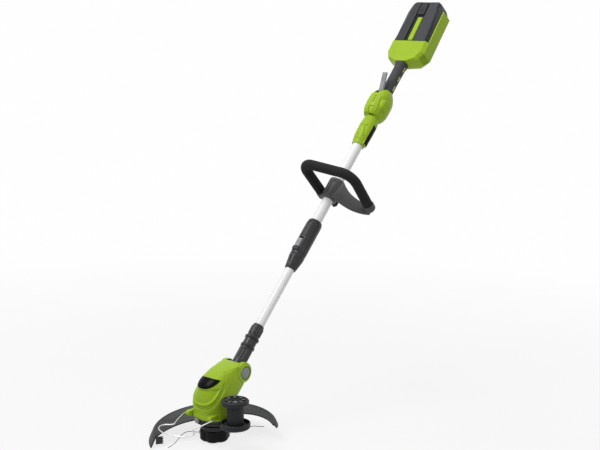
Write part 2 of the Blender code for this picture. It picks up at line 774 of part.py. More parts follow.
def housing_hollow():
    """Loft the hollow inside the motor housing, which stops ahead of the pivot barrel."""
    rows = housing_rows(SHELL_WALL)[:6]
    rows[0] = (rows[0][0] - SHELL_WALL, *rows[0][1:])
    return housing_form(rows, PIVOT_Y - BARREL_RADIUS - SHELL_WALL * 2.0)


def split_block(above):
    """Make the big slanted block on one side of the seam between housing and front cover."""
    reach = 0.4
    low = -SEAT_GAP / 2.0 if above else -reach
    high = reach if above else SEAT_GAP / 2.0
    return block((-reach, -reach, low), (reach, reach, high))


def slot_outline():
    """Outline the yoke slot in (y, z): round at the barrel and open over the pole's swing."""
    radius = BARREL_RADIUS + RUN_GAP
    reach = 0.09
    swing = POLE_ANGLE + math.radians(15.0)
    side = SLEEVE_RADIUS + SLEEVE_RING
    lean = Vector((math.cos(swing), math.sin(swing)))
    across = Vector((-lean.y, lean.x)) * side
    centre = Vector((PIVOT_Y, PIVOT_Z))
    entry = math.asin(side / radius)
    points = arc(centre, radius, swing + entry, math.pi * 1.5, 12)
    points.append((PIVOT_Y + reach, PIVOT_Z - radius))
    points.append((PIVOT_Y + reach, PIVOT_Z + reach))
    far = centre + across + lean * reach
    points.append((far.x, far.y))
    return points


def make_motor_housing():
    """Make the rear housing with its yoke ears, and the front cover over the seam."""
    green = (GREEN, 0.38)
    rear = add_piece("motor_housing", housing_body(0.0), green)
    front = add_piece("motor_front_cover", housing_body(0.0), green)
    seam = (0.0, SPLIT_Y, SPLIT_Z)
    upper = add_cutter("seam_upper", split_block(True), None, seam, (SPLIT_SLOPE, 0.0, 0.0))
    lower = add_cutter("seam_lower", split_block(False), None, seam, (SPLIT_SLOPE, 0.0, 0.0))
    for sign in (-1.0, 1.0):
        combine(rear, add_cutter("wire_ear", wire_ear(sign)), "UNION")
    ears = disc(EAR_RADIUS * 0.96, -EAR_HALF_WIDTH * 0.99, EAR_HALF_WIDTH * 0.99, 28)
    quarter = (0.0, math.pi / 2.0, 0.0)
    at_pivot = (0.0, PIVOT_Y, PIVOT_Z)
    combine(rear, add_cutter("ear_rounds", ears, None, at_pivot, quarter), "UNION")
    ring = disc(KNOB_RING_RADIUS, 0.0, EAR_HALF_WIDTH * 0.2 + KNOB_RING_PROUD, 24)
    at_ring = (EAR_HALF_WIDTH * 0.8, PIVOT_Y, PIVOT_Z)
    combine(rear, add_cutter("knob_ring", ring, None, at_ring, quarter), "UNION")
    combine(rear, upper)
    combine(front, lower)
    hollow = add_cutter("housing_hollow", housing_hollow())
    combine(rear, hollow)
    combine(front, hollow)
    slot = flat(slot_outline(), (BARREL_HALF + SEAT_GAP) * 2.0)
    slot.transform(Matrix(((0, 0, 1, 0), (1, 0, 0, 0), (0, 1, 0, 0), (0, 0, 0, 1))))
    combine(rear, add_cutter("yoke_slot", slot))
    reach = EAR_HALF_WIDTH * 1.2
    hole = disc(PIN_RADIUS + SEAT_GAP, -reach, reach, SMALL_ROUND)
    combine(rear, add_cutter("ear_pin_hole", hole, None, at_pivot, quarter))
    floor = EAR_HALF_WIDTH - TILT_BUTTON_PROUD - TILT_BUTTON_TRAVEL
    pocket = disc(TILT_BUTTON_RADIUS + SEAT_GAP, floor, reach * 1.4, 20)
    combine(rear, add_cutter("tilt_button_pocket", pocket, None, at_pivot, quarter))
    spot_face = disc(PIN_HEAD_RADIUS + SEAT_GAP, EAR_HALF_WIDTH - SEAT_GAP, reach * 1.3, 20)
    combine(rear, add_cutter("pin_head_seat", spot_face, None, at_pivot, (0.0, -math.pi / 2.0, 0.0)))
    for sign in (-1.0, 1.0):
        wire = disc(WIRE_RADIUS + SEAT_GAP, -EAR_THICKNESS, EAR_THICKNESS, TINY_ROUND)
        place = (sign * (EAR_INNER_X + EAR_THICKNESS / 2.0), HINGE_Y, HINGE_Z)
        combine(rear, add_cutter("wire_hole", wire, None, place, quarter))


def wire_ear(sign):
    """Make one green ear that carries the wire guard."""
    lower = -math.pi / 2.0
    points = arc((HINGE_Y, HINGE_Z), EAR_NOSE_RADIUS, -lower, -lower + math.pi, 8)
    root = -HOUSING_RADIUS * 0.45
    points += [(root, HINGE_Z - EAR_NOSE_RADIUS), (root, HINGE_Z + EAR_NOSE_RADIUS)]
    mesh = flat(points, EAR_THICKNESS)
    mesh.transform(Matrix(((0, 0, 1, 0), (1, 0, 0, 0), (0, 1, 0, 0), (0, 0, 0, 1))))
    mesh.transform(Matrix.Translation((sign * (EAR_INNER_X + EAR_THICKNESS / 2.0), 0.0, 0.0)))
    return weld(mesh)


def make_name_plate():
    """Make the bare almond plate that follows the front cover's curve."""
    half = PLATE_WIDTH / 2.0
    rise = PLATE_HEIGHT / 2.0
    radius = (half ** 2 + rise ** 2) / (2.0 * rise)
    sweep = math.asin(half / radius)
    middle = math.pi / 2.0
    outline = arc((0.0, rise - radius), radius, middle - sweep, middle + sweep, 8)
    outline += arc((0.0, radius - rise), radius, -middle - sweep, -middle + sweep, 8)[1:-1]
    plate = add_piece("label_plate", housing_body(-SEAT_GAP - PLATE_THICKNESS), (BLACK, 0.25))
    lens = flat(outline, HOUSING_RADIUS * 1.3)
    place = (0.0, PLATE_Y, PLATE_Z)
    combine(plate, add_cutter("plate_lens", lens, None, place, (PLATE_TILT, 0.0, 0.0)), "INTERSECT")
    combine(plate, add_cutter("plate_back", housing_body(-SEAT_GAP)))


def make_motor():
    """Make the motor can, its shaft and the tilt button on the right ear."""
    foot = HOUSING_BASE_Z
    bore = SHAFT_RADIUS + SEAT_GAP
    profile = [(0.0, MOTOR_LENGTH), (MOTOR_RADIUS * 0.5, MOTOR_LENGTH),
               (MOTOR_RADIUS, MOTOR_LENGTH * 0.92), (MOTOR_RADIUS, 0.0), (bore, 0.0),
               (bore, SHAFT_IN_MOTOR + SEAT_GAP), (0.0, SHAFT_IN_MOTOR + SEAT_GAP)]
    add_piece("drive_motor", turned(profile, ROUND, closed=False), ((0.35, 0.35, 0.36), 0.4, 1.0), None,
              (0.0, 0.0, foot))
    add_piece("motor_shaft", disc(SHAFT_RADIUS, SHAFT_FOOT_Z, foot + SHAFT_IN_MOTOR, SMALL_ROUND),
              ((0.6, 0.6, 0.62), 0.25, 1.0))
    inner = EAR_HALF_WIDTH - TILT_BUTTON_PROUD + SEAT_GAP
    outer = EAR_HALF_WIDTH + TILT_BUTTON_PROUD
    edge = TILT_BUTTON_RADIUS
    profile = [(0.0, outer), (edge * 0.7, outer - 0.0004), (edge * 0.95, outer - 0.0016),
               (edge, outer - 0.003), (edge, inner), (0.0, inner)]
    add_piece("tilt_button", turned(profile, 24, closed=False), ((0.62, 0.63, 0.66), 0.4), None,
              (0.0, PIVOT_Y, PIVOT_Z), (0.0, math.pi / 2.0, 0.0))


def hub_layers():
    """Return the heights (flange foot, bracket foot, guard foot) of the stack under the head."""
    flange = HOUSING_BASE_Z - SEAT_GAP - FLANGE_THICKNESS
    bracket = flange - SEAT_GAP - BRACKET_THICKNESS
    guard = bracket - SEAT_GAP - GUARD_WALL
    return flange, bracket, guard


def make_hub():
    """Make the base flange, the wheel bracket under it, the hub screws and the guard's hand knob."""
    flange_foot, bracket_foot, guard_foot = hub_layers()
    bore = SHAFT_RADIUS + RUN_GAP
    body = sleeve(FLANGE_RADIUS, bore, flange_foot, flange_foot + FLANGE_THICKNESS)
    flange = add_piece("base_flange", body, (CHARCOAL, 0.5))
    distance = math.hypot(WHEEL_X, WHEEL_Y)
    bearing = math.atan2(WHEEL_Y, WHEEL_X)
    spread = math.asin(BRACKET_ARM_HALF * 1.5 / FLANGE_RADIUS)
    outline = arc((0.0, 0.0), FLANGE_RADIUS, spread, 2.0 * math.pi - spread, 30)
    outline += arc((distance, 0.0), BRACKET_ARM_HALF, -math.pi / 2.0, math.pi / 2.0, 8)
    holes = [arc((0.0, 0.0), BRACKET_BORE, 0.0, 2.0 * math.pi * 19 / 20, 19),
             arc((distance, 0.0), AXLE_RADIUS + SEAT_GAP, 0.0, 2.0 * math.pi * 9 / 10, 9)]
    bracket = add_piece("wheel_bracket", flat(outline, BRACKET_THICKNESS, holes), (CHARCOAL, 0.5), None,
                        (0.0, 0.0, bracket_foot + BRACKET_THICKNESS / 2.0), (0.0, 0.0, bearing))
    spots = []
    for bearing in HUB_SCREW_BEARINGS:
        around = Matrix.Rotation(bearing, 4, "Z")
        place = Matrix.Translation((HUB_SCREW_CIRCLE, 0.0, guard_foot - SEAT_GAP))
        spots.append(around @ place @ Matrix.Rotation(math.pi, 4, "X"))
    length = HOUSING_BASE_Z - guard_foot - FLANGE_THICKNESS * 0.3
    hosts = [flange, bracket, bpy.data.objects["debris_guard"]]
    add_screws("guard_screw", spots, length, hosts)
    place = Vector((math.cos(GUARD_KNOB_BEARING), math.sin(GUARD_KNOB_BEARING), 0.0)) * FLANGE_RADIUS
    place.z = flange_foot + FLANGE_THICKNESS / 2.0
    stem = HUB_SCREW_RADIUS
    seat = SEAT_GAP
    profile = [(0.0, GUARD_KNOB_PROUD), (GUARD_KNOB_RADIUS * 0.7, GUARD_KNOB_PROUD),
               (GUARD_KNOB_RADIUS, GUARD_KNOB_PROUD * 0.7), (GUARD_KNOB_RADIUS, seat), (stem, seat),
               (stem, -GUARD_KNOB_PROUD * 1.3), (0.0, -GUARD_KNOB_PROUD * 1.3)]
    knob = turned(profile, 16, closed=False)
    turn = (math.pi / 2.0, 0.0, GUARD_KNOB_BEARING + math.pi / 2.0)
    add_piece("guard_knob", knob, ((0.42, 0.43, 0.44), 0.4), None, place, turn)
    hole = disc(stem + SEAT_GAP, -GUARD_KNOB_PROUD * 1.4, GUARD_KNOB_PROUD, TINY_ROUND)
    combine(flange, add_cutter("guard_knob_hole", hole, None, place, turn))
    room = disc(GUARD_KNOB_RADIUS + RUN_GAP, 0.0, GUARD_KNOB_PROUD * 3.0, 16)
    housing = bpy.data.objects["motor_housing"]
    combine(housing, add_cutter("guard_knob_room", room, None, place, turn))


def guard_inner_radius(angle):
    """Return how far from the spool axis the guard's plate starts at a bearing."""
    reach = GUARD_RADIUS - GUARD_TIP_WIDTH - GUARD_HUB_RADIUS
    if angle < GUARD_TAIL_ROOT:
        share = (GUARD_TAIL_ROOT - angle) / (GUARD_TAIL_ROOT - GUARD_TAIL_ANGLE)
        return GUARD_HUB_RADIUS + reach * share ** 0.55
    if angle > GUARD_TIP_ROOT:
        share = (angle - GUARD_TIP_ROOT) / (GUARD_TIP_ANGLE - GUARD_TIP_ROOT)
        return GUARD_HUB_RADIUS + reach * share
    return GUARD_HUB_RADIUS


def guard_section(angle):
    """Return one section of the guard as (radius, height) points: plate, crown and flared skirt."""
    hub_top = hub_layers()[2] + GUARD_WALL
    crown = GUARD_HEIGHT_Z + GUARD_REAR_RISE * math.sin(angle)
    inner = guard_inner_radius(angle)
    flat_end = max(FLANGE_RADIUS, inner + GUARD_TIP_WIDTH * 0.2)
    slope = (crown - hub_top) / (GUARD_RADIUS - FLANGE_RADIUS)

    def top(radius):
        return hub_top + slope * max(radius - FLANGE_RADIUS, 0.0)

    middle = (GUARD_TAIL_ANGLE + GUARD_TIP_ANGLE) / 2.0
    if angle < middle:
        share = ((middle - angle) / (middle - GUARD_TAIL_ANGLE)) ** 3
        skirt = GUARD_SKIRT + (GUARD_TAIL_SKIRT - GUARD_SKIRT) * share
    else:
        share = ((angle - middle) / (GUARD_TIP_ANGLE - middle)) ** 3
        skirt = GUARD_SKIRT + (GUARD_TIP_SKIRT - GUARD_SKIRT) * share
    wall = GUARD_WALL
    turn = GUARD_RADIUS - wall
    return [(inner, top(inner)), (flat_end, top(flat_end)), (turn, top(turn)),
            (GUARD_RADIUS, top(GUARD_RADIUS) - wall * 0.6),
            (GUARD_RADIUS + GUARD_FLARE * skirt, crown - skirt),
            (GUARD_RADIUS + GUARD_FLARE * skirt - wall, crown - skirt),
            (turn, top(turn) - wall * 1.2), (flat_end, top(flat_end) - wall), (inner, top(inner) - wall)]


def make_guard():
    """Make the crescent debris guard and the line cutter under its tip."""
    rings = []
    for index in range(GUARD_STEPS + 1):
        angle = GUARD_TAIL_ANGLE + (GUARD_TIP_ANGLE - GUARD_TAIL_ANGLE) * index / GUARD_STEPS
        ring = [Vector((radius * math.cos(angle), radius * math.sin(angle), height))
                for radius, height in guard_section(angle)]
        rings.append(ring)
    add_piece("debris_guard", loft(rings), ((0.13, 0.13, 0.14), 0.45))
    bearing = GUARD_TIP_ANGLE - BLADE_THICKNESS * 4.0 / GUARD_RADIUS
    section = guard_section(bearing)
    outer = section[6][0] - SEAT_GAP * 2.0
    top = section[6][1] - SEAT_GAP * 4.0
    inner = outer - BLADE_LENGTH
    points = [(outer, top), (inner, top)]
    tooth = BLADE_HEIGHT / BLADE_TEETH
    for index in range(BLADE_TEETH):
        points.append((inner + tooth * 0.5, top - tooth * (index + 0.45)))
        points.append((inner - tooth * 0.1, top - tooth * (index + 1.0)))
    points.append((outer, top - BLADE_HEIGHT))
    mesh = flat(points, BLADE_THICKNESS)
    mesh.transform(Matrix.Rotation(math.pi / 2.0, 4, "X"))
    add_piece("line_cutter", weld(mesh), ((0.16, 0.16, 0.17), 0.35, 1.0), None, (0.0, 0.0, 0.0),
              (0.0, 0.0, bearing))


def wire_route():
    """List the wire guard's path from one ear round the bow to the other."""
    arm = WIRE_ARM_X + WIRE_RADIUS
    bow = WIRE_BOW_X
    reach = WIRE_REACH
    shares = [(EAR_INNER_X + SEAT_GAP, 0.0, 0.0), (arm, 0.0, 0.0), (arm, -0.07, -0.01),
              (arm * 0.86, -0.31, -0.06), (bow * 0.62, -0.49, -0.11), (bow * 0.72, -0.56, -0.12),
              (bow * 0.96, -0.63, -0.13), (bow, -0.73, -0.135), (bow * 0.84, -0.86, -0.14),
              (bow * 0.46, -0.96, -0.14)]
    half = [Vector((x, HINGE_Y + y * reach, HINGE_Z + z * reach)) for x, y, z in shares]
    other = [Vector((-point.x, point.y, point.z)) for point in reversed(half)]
    front = Vector((0.0, HINGE_Y - reach, HINGE_Z - 0.14 * reach))
    return half + [front] + other


def make_wire_guard():
    """Bend the wire guard and set its origin on the hinge."""
    route = wire_route()
    bow = smooth_route(route[1:-1], WIRE_RADIUS * 8.0)
    points = [route[0]] + bow + [route[-1]]
    hinge = Vector((0.0, HINGE_Y, HINGE_Z))
    mesh = tube([point - hinge for point in points], WIRE_RADIUS, 2)
    add_piece("wire_guard", mesh, ((0.72, 0.73, 0.72), 0.3, 1.0), None, hinge)


def make_wheel():
    """Turn the edging wheel and its axle screw."""
    bore = AXLE_RADIUS + RUN_GAP
    top = WHEEL_HEIGHT
    rim = WHEEL_TOP_RADIUS
    neck = WHEEL_NECK_RADIUS
    ring = WHEEL_RING_RADIUS
    wall = SHELL_WALL
    head = AXLE_HEAD_RADIUS + RUN_GAP
    ledge = WHEEL_RING_HEIGHT
    profile = [(rim - wall, top), (rim, top - wall), (rim, top - 3.0 * wall),
               (rim * 0.84, top - 5.2 * wall), (neck, top - 7.0 * wall), (neck, ledge * 0.45),
               (ring - wall, ledge * 0.45),
               (ring - wall, ledge), (ring, ledge - wall * 0.5), (ring, wall), (ring - wall, 0.0),
               (bore, 0.0), (bore, top - 3.0 * wall), (head, top - 3.0 * wall), (head, top - wall),
               (head + wall, top - wall), (head + 2.0 * wall, top - 1.7 * wall),
               (rim - 3.0 * wall, top - 1.7 * wall), (rim - 2.5 * wall, top)]
    centre = (WHEEL_X, WHEEL_Y, WHEEL_FOOT_Z)
    add_piece("edge_wheel", turned(profile, 28), ((0.12, 0.12, 0.13), 0.5), None, centre)
    bracket_foot = hub_layers()[1]
    seat = WHEEL_FOOT_Z + top - 3.0 * wall + RUN_GAP
    collar = bracket_foot + BRACKET_THICKNESS + SEAT_GAP
    shank = AXLE_RADIUS
    wide = AXLE_HEAD_RADIUS
    foot = WHEEL_FOOT_Z - SEAT_GAP
    profile = [(0.0, seat + wall), (wide * 0.8, seat + wall), (wide, seat + wall * 0.5), (wide, seat),
               (shank, seat), (shank, foot), (wide, foot), (wide, collar), (shank, collar),
               (shank, bracket_foot), (0.0, bracket_foot)]
    add_piece("wheel_axle", turned(profile, 16, closed=False), ((0.45, 0.46, 0.48), 0.3, 1.0), None,
              (WHEEL_X, WHEEL_Y, 0.0))


def lobed_ring(radius, height, lobe, count):
    """Return one lobed ring of points."""
    ring = []
    for index in range(count):
        angle = 2.0 * math.pi * index / count
        reach = radius - lobe * (1.0 - abs(math.cos(CAP_LOBES * angle / 2.0)) ** 0.6)
        ring.append(Vector((reach * math.cos(angle), reach * math.sin(angle), height)))
    return ring


def make_spool_cap():
    """Loft the lobed cap as a cup that opens upwards, with a hole for the feed knob."""
    count = 36
    floor = CAP_FOOT_Z + CAP_WALL
    inner = CAP_RADIUS - CAP_LOBE - CAP_WALL
    rings = [lobed_ring(CAP_HOLE_RADIUS, CAP_FOOT_Z, 0.0, count),
             lobed_ring(CAP_RADIUS * 0.86, CAP_FOOT_Z, CAP_LOBE, count),
             lobed_ring(CAP_RADIUS, CAP_FOOT_Z + CAP_WALL * 1.6, CAP_LOBE, count),
             lobed_ring(CAP_RADIUS, CAP_TOP_Z - CAP_WALL, CAP_LOBE, count),
             lobed_ring(CAP_RADIUS - CAP_LOBE, CAP_TOP_Z, 0.0, count),
             lobed_ring(inner, CAP_TOP_Z, 0.0, count),
             lobed_ring(inner, floor, 0.0, count),
             lobed_ring(CAP_HOLE_RADIUS, floor, 0.0, count)]
    cap = add_piece("spool_cap", loft(rings, ring_closed=True), (BLACK, 0.5))
    holes = []
    for spot in eyelet_spots():
        holes.append((disc(EYELET_RADIUS + SEAT_GAP, -EYELET_LENGTH * 2.0, EYELET_LENGTH * 2.0, 12), spot))
    combine(cap, add_cutter("eyelet_holes", gather(holes)))


def eyelet_spots():
    """Return the places of the two line eyelets, with Z pointing out of the cap."""
    spots = []
    for bearing in (EYELET_BEARING, EYELET_BEARING - math.pi):
        turn = Matrix.Rotation(bearing, 4, "Z") @ axis_to_x()
        out = CAP_RADIUS - CAP_LOBE - CAP_WALL / 2.0
        place = Matrix.Translation((out * math.cos(bearing), out * math.sin(bearing), EYELET_Z))
        spots.append(place @ turn)
    return spots


def make_spool():
    """Make what turns with the motor above the cap: base, spool, winding and eyelets."""
    metal = ((0.7, 0.7, 0.7), 0.25, 1.0)
    lip = SPOOL_BASE_RADIUS
    foot = CAP_TOP_Z + SEAT_GAP
    bore = SHAFT_RADIUS + SEAT_GAP
    top = SPOOL_BASE_TOP_Z
    profile = [(bore, top), (lip * 0.8, top), (lip, top - CAP_WALL), (lip, foot), (bore, foot)]
    add_piece("spool_base", turned(profile), (CHARCOAL, 0.5))
    flange = SPOOL_FLANGE
    profile = [(SPOOL_RADIUS, SPOOL_TOP_Z), (SPOOL_RADIUS, SPOOL_TOP_Z - flange),
               (SPOOL_HUB_RADIUS, SPOOL_TOP_Z - flange), (SPOOL_HUB_RADIUS, SPOOL_FOOT_Z + flange),
               (SPOOL_RADIUS, SPOOL_FOOT_Z + flange), (SPOOL_RADIUS, SPOOL_FOOT_Z),
               (SPOOL_BORE, SPOOL_FOOT_Z), (SPOOL_BORE, SPOOL_TOP_Z)]
    add_piece("line_spool", turned(profile), ((0.35, 0.36, 0.37), 0.5))
    low = SPOOL_FOOT_Z + flange + SEAT_GAP
    high = SPOOL_TOP_Z - flange - SEAT_GAP
    wound = SPOOL_RADIUS - SPOOL_FLANGE
    winding = sleeve(wound, SPOOL_HUB_RADIUS + SEAT_GAP, low, high)
    add_piece("line_winding", winding, ((0.45, 0.5, 0.36), 0.5))
    out = EYELET_LENGTH / 2.0
    lip = EYELET_RADIUS + SEAT_GAP * 4.0
    past = CAP_WALL / 2.0 + CAP_LOBE + SEAT_GAP
    profile = [(EYELET_BORE, past + 0.001), (lip, past + 0.001), (lip, past), (EYELET_RADIUS, past),
               (EYELET_RADIUS, -out), (EYELET_BORE, -out)]
    ring = turned(profile, 12)
    for word, spot in zip(("left", "right"), eyelet_spots()):
        add_piece("line_eyelet_" + word, ring, metal, None, spot.to_translation(), spot.to_euler())


def make_feed_knob():
    """Turn the bump-feed knob that the trimmer touches down on, and coil its spring."""
    edge = KNOB_RADIUS
    brim = CAP_FOOT_Z + CAP_WALL
    profile = [(0.0, KNOB_STEM_TOP_Z), (KNOB_STEM_RADIUS, KNOB_STEM_TOP_Z), (KNOB_STEM_RADIUS, brim),
               (edge * 0.9, brim), (edge, CAP_FOOT_Z), (edge * 0.93, CAP_FOOT_Z * 0.4),
               (KNOB_FOOT_RADIUS, 0.0), (0.0, 0.0)]
    add_piece("feed_knob", turned(profile, 24, closed=False), ((0.10, 0.10, 0.11), 0.45))
    low = KNOB_STEM_TOP_Z + SEAT_GAP + SPRING_WIRE
    high = CAP_TOP_Z - SPRING_WIRE
    points = []
    steps = SPRING_TURNS * 8
    for index in range(steps + 1):
        angle = 2.0 * math.pi * index / 8
        height = low + (high - low) * index / steps
        points.append((SPRING_RADIUS * math.cos(angle), SPRING_RADIUS * math.sin(angle), height))
    add_piece("feed_spring", tube(points, SPRING_WIRE, 1), ((0.5, 0.5, 0.52), 0.3, 1.0))


# Routes of the two cutting line ends, from the eyelets outwards
LINE_LEFT_ROUTE = [(-0.0268, -0.0209, 0.0200), (-0.0315, -0.0246, 0.0200), (-0.0372, -0.0290, 0.0200),
                   (-0.0480, -0.0340, 0.0203), (-0.0550, -0.0440, 0.0195), (-0.0530, -0.0600, 0.0180),
                   (-0.0465, -0.0760, 0.0155), (-0.0400, -0.0930, 0.0125), (-0.0370, -0.1080, 0.0090),
                   (-0.0385, -0.1210, 0.0060)]
LINE_RIGHT_ROUTE = [(0.0268, 0.0209, 0.0200), (0.0315, 0.0246, 0.0200), (0.0372, 0.0290, 0.0200),
                    (0.0450, 0.0370, 0.0205), (0.0490, 0.0500, 0.0215), (0.0480, 0.0640, 0.0225),
                    (0.0460, 0.0760, 0.0235), (0.0520, 0.0860, 0.0240), (0.0620, 0.0920, 0.0235),
                    (0.0700, 0.1010, 0.0225)]


def make_line_ends():
    """Run the two free ends of the cutting line."""
    for word, route in (("left", LINE_LEFT_ROUTE), ("right", LINE_RIGHT_ROUTE)):
        points = smooth_route(route, LINE_DIAMETER * 3.0)
        add_piece("line_end_" + word, tube(points, LINE_DIAMETER / 2.0, 2), ((0.42, 0.47, 0.36), 0.45))


def handle_place(across, up, along=0.0):
    """Return a point of the handle frame: across the pole, out over it, and along it."""
    return Vector((across, -up, along))


def handle_path():
    """Return the centre line of the looped handle in the handle frame."""
    corners = [HANDLE_LEFT_FOOT, HANDLE_LEFT_TOP, HANDLE_RIGHT_TOP, HANDLE_RIGHT_FOOT]
    path = rounded_path(corners, (HANDLE_LEFT_BEND, HANDLE_RIGHT_BEND))
    return [handle_place(point.x, point.y) for point in path]


def stretch_ends(points, extra):
    """Return the path lengthened at both ends."""
    first = points[0] + (points[0] - points[1]).normalized() * extra
    last = points[-1] + (points[-1] - points[-2]).normalized() * extra
    return [first] + points[1:-1] + [last]


def arm_rings():
    """List the sections of the strap that reaches from the clamp to the right foot."""
    foot = HANDLE_RIGHT_FOOT
    reach = foot[0]
    thick = HANDLE_ARM_THICKNESS / 2.0
    low = HANDLE_CLAMP_START - HANDLE_SEAT
    high = low + HANDLE_CLAMP_LENGTH
    rows = [(0.13, 0.007, low, high), (0.22, 0.005, low, high * 0.90),
            (0.42, -0.010, low * 1.15, high * 0.48), (0.64, foot[1] * 0.68, low * 1.22, high * 0.26),
            (0.86, foot[1] * 1.06, low * 1.02, high * 0.24),
            (1.02, foot[1] * 1.30, low * 0.70, high * 0.26)]
    rings = []
    for share, up, start, end in rows:
        x = reach * share
        edge = thick * 0.5
        ring = [handle_place(x, up - thick, start + edge), handle_place(x, up - edge, start),
                handle_place(x, up + edge, start), handle_place(x, up + thick, start + edge),
                handle_place(x, up + thick, end - edge), handle_place(x, up + edge, end),
                handle_place(x, up - edge, end), handle_place(x, up - thick, end - edge)]
        rings.append(ring)
    return rings


def make_handle(pole):
    """Make the looped handle: bracket, cap, core tube, foam grip and clamping knob."""
    handle = frame_at("handle_frame", pole, (0.0, 0.0, HANDLE_SEAT), -HANDLE_TILT)
    path = handle_path()
    socket = FOAM_RADIUS + HANDLE_SOCKET_WALL
    core_bore = HANDLE_TUBE_RADIUS + SEAT_GAP
    bracket = add_piece("handle_bracket", loft(arm_rings()), ((0.20, 0.205, 0.215), 0.42), handle)
    collar = disc(HANDLE_CLAMP_RADIUS, 0.0, HANDLE_CLAMP_LENGTH)
    seat = (0.0, 0.0, HANDLE_CLAMP_START)
    combine(bracket, add_cutter("handle_collar", collar, pole, seat), "UNION")
    left_up = (path[1] - path[0]).normalized()
    right_up = (path[-2] - path[-1]).normalized()
    for word, foot, up in (("left", path[0], left_up), ("right", path[-1], right_up)):
        start = foot - up * HANDLE_SOCKET_DEPTH * 0.7
        cup = tube([start, foot + up * HANDLE_SOCKET_DEPTH * 0.6], socket, 4)
        combine(bracket, add_cutter("cup_" + word, cup, handle), "UNION")
    foam_cut = tube(path, FOAM_RADIUS + SEAT_GAP, 4)
    combine(bracket, add_cutter("foam_recess", foam_cut, handle))
    core_cut = tube(stretch_ends(path, HANDLE_SOCKET_DEPTH * 0.5 + SEAT_GAP), core_bore, 2)
    combine(bracket, add_cutter("core_socket", core_cut, handle))
    bore_cut = disc(UPPER_TUBE_RADIUS + SEAT_GAP, -HANDLE_CLAMP_LENGTH, HANDLE_CLAMP_LENGTH * 2.0)
    bore = add_cutter("handle_bore", bore_cut, pole, seat)
    combine(bracket, bore)
    reach = HANDLE_CLAMP_RADIUS
    below = block((-reach, HANDLE_CAP_DEPTH, -HANDLE_CLAMP_LENGTH),
                  (reach, reach * 2.0, HANDLE_CLAMP_LENGTH * 2.0))
    combine(bracket, add_cutter("cap_space", below, pole, seat))
    inner = SEAT_GAP * 2.0
    body = disc(HANDLE_CLAMP_RADIUS - SEAT_GAP, inner, HANDLE_CLAMP_LENGTH - inner)
    cap = add_piece("handle_clamp_cap", body, ((0.16, 0.165, 0.17), 0.45), pole, seat)
    above = block((-reach * 2.0, -reach * 2.0, -HANDLE_CLAMP_LENGTH),
                  (reach * 2.0, HANDLE_CAP_DEPTH + SEAT_GAP, HANDLE_CLAMP_LENGTH * 2.0))
    combine(cap, add_cutter("bracket_space", above, pole, seat))
    combine(cap, bore)
    add_piece("handle_core", tube(stretch_ends(path, HANDLE_SOCKET_DEPTH * 0.5), HANDLE_TUBE_RADIUS, 2),
              ((0.5, 0.5, 0.5), 0.4, 1.0), handle)
    foam = add_piece("handle_grip", tube(path, FOAM_RADIUS, 4), ((0.03, 0.03, 0.032), 0.9), handle)
    foam_bore = tube(stretch_ends(path, HANDLE_SOCKET_DEPTH), core_bore, 2)
    combine(foam, add_cutter("foam_bore", foam_bore, handle))
    knob_seat = HANDLE_CLAMP_RADIUS + SEAT_GAP
    stud = HAND_KNOB_STUD
    length = HAND_KNOB_LENGTH
    sunk = HANDLE_CLAMP_RADIUS - UPPER_TUBE_RADIUS - RUN_GAP * 2.0
    profile = [(0.0, 0.0 + sunk), (stud, sunk), (stud, -SEAT_GAP), (HAND_KNOB_RADIUS * 0.7, -SEAT_GAP),
               (HAND_KNOB_RADIUS, -length * 0.3), (HAND_KNOB_RADIUS, -length * 0.85),
               (HAND_KNOB_RADIUS * 0.8, -length), (0.0, -length)]
    place = (0.0, knob_seat - SEAT_GAP, HANDLE_CLAMP_START + HAND_KNOB_UP)
    add_piece("handle_knob", turned(profile, 16, closed=False), ((0.08, 0.08, 0.09), 0.5), pole, place,
              (math.pi / 2.0, 0.0, 0.0))
    hole = disc(stud + SEAT_GAP, -length, sunk * 2.0, SMALL_ROUND)
    combine(cap, add_cutter("knob_hole", hole, pole, place, (math.pi / 2.0, 0.0, 0.0)))


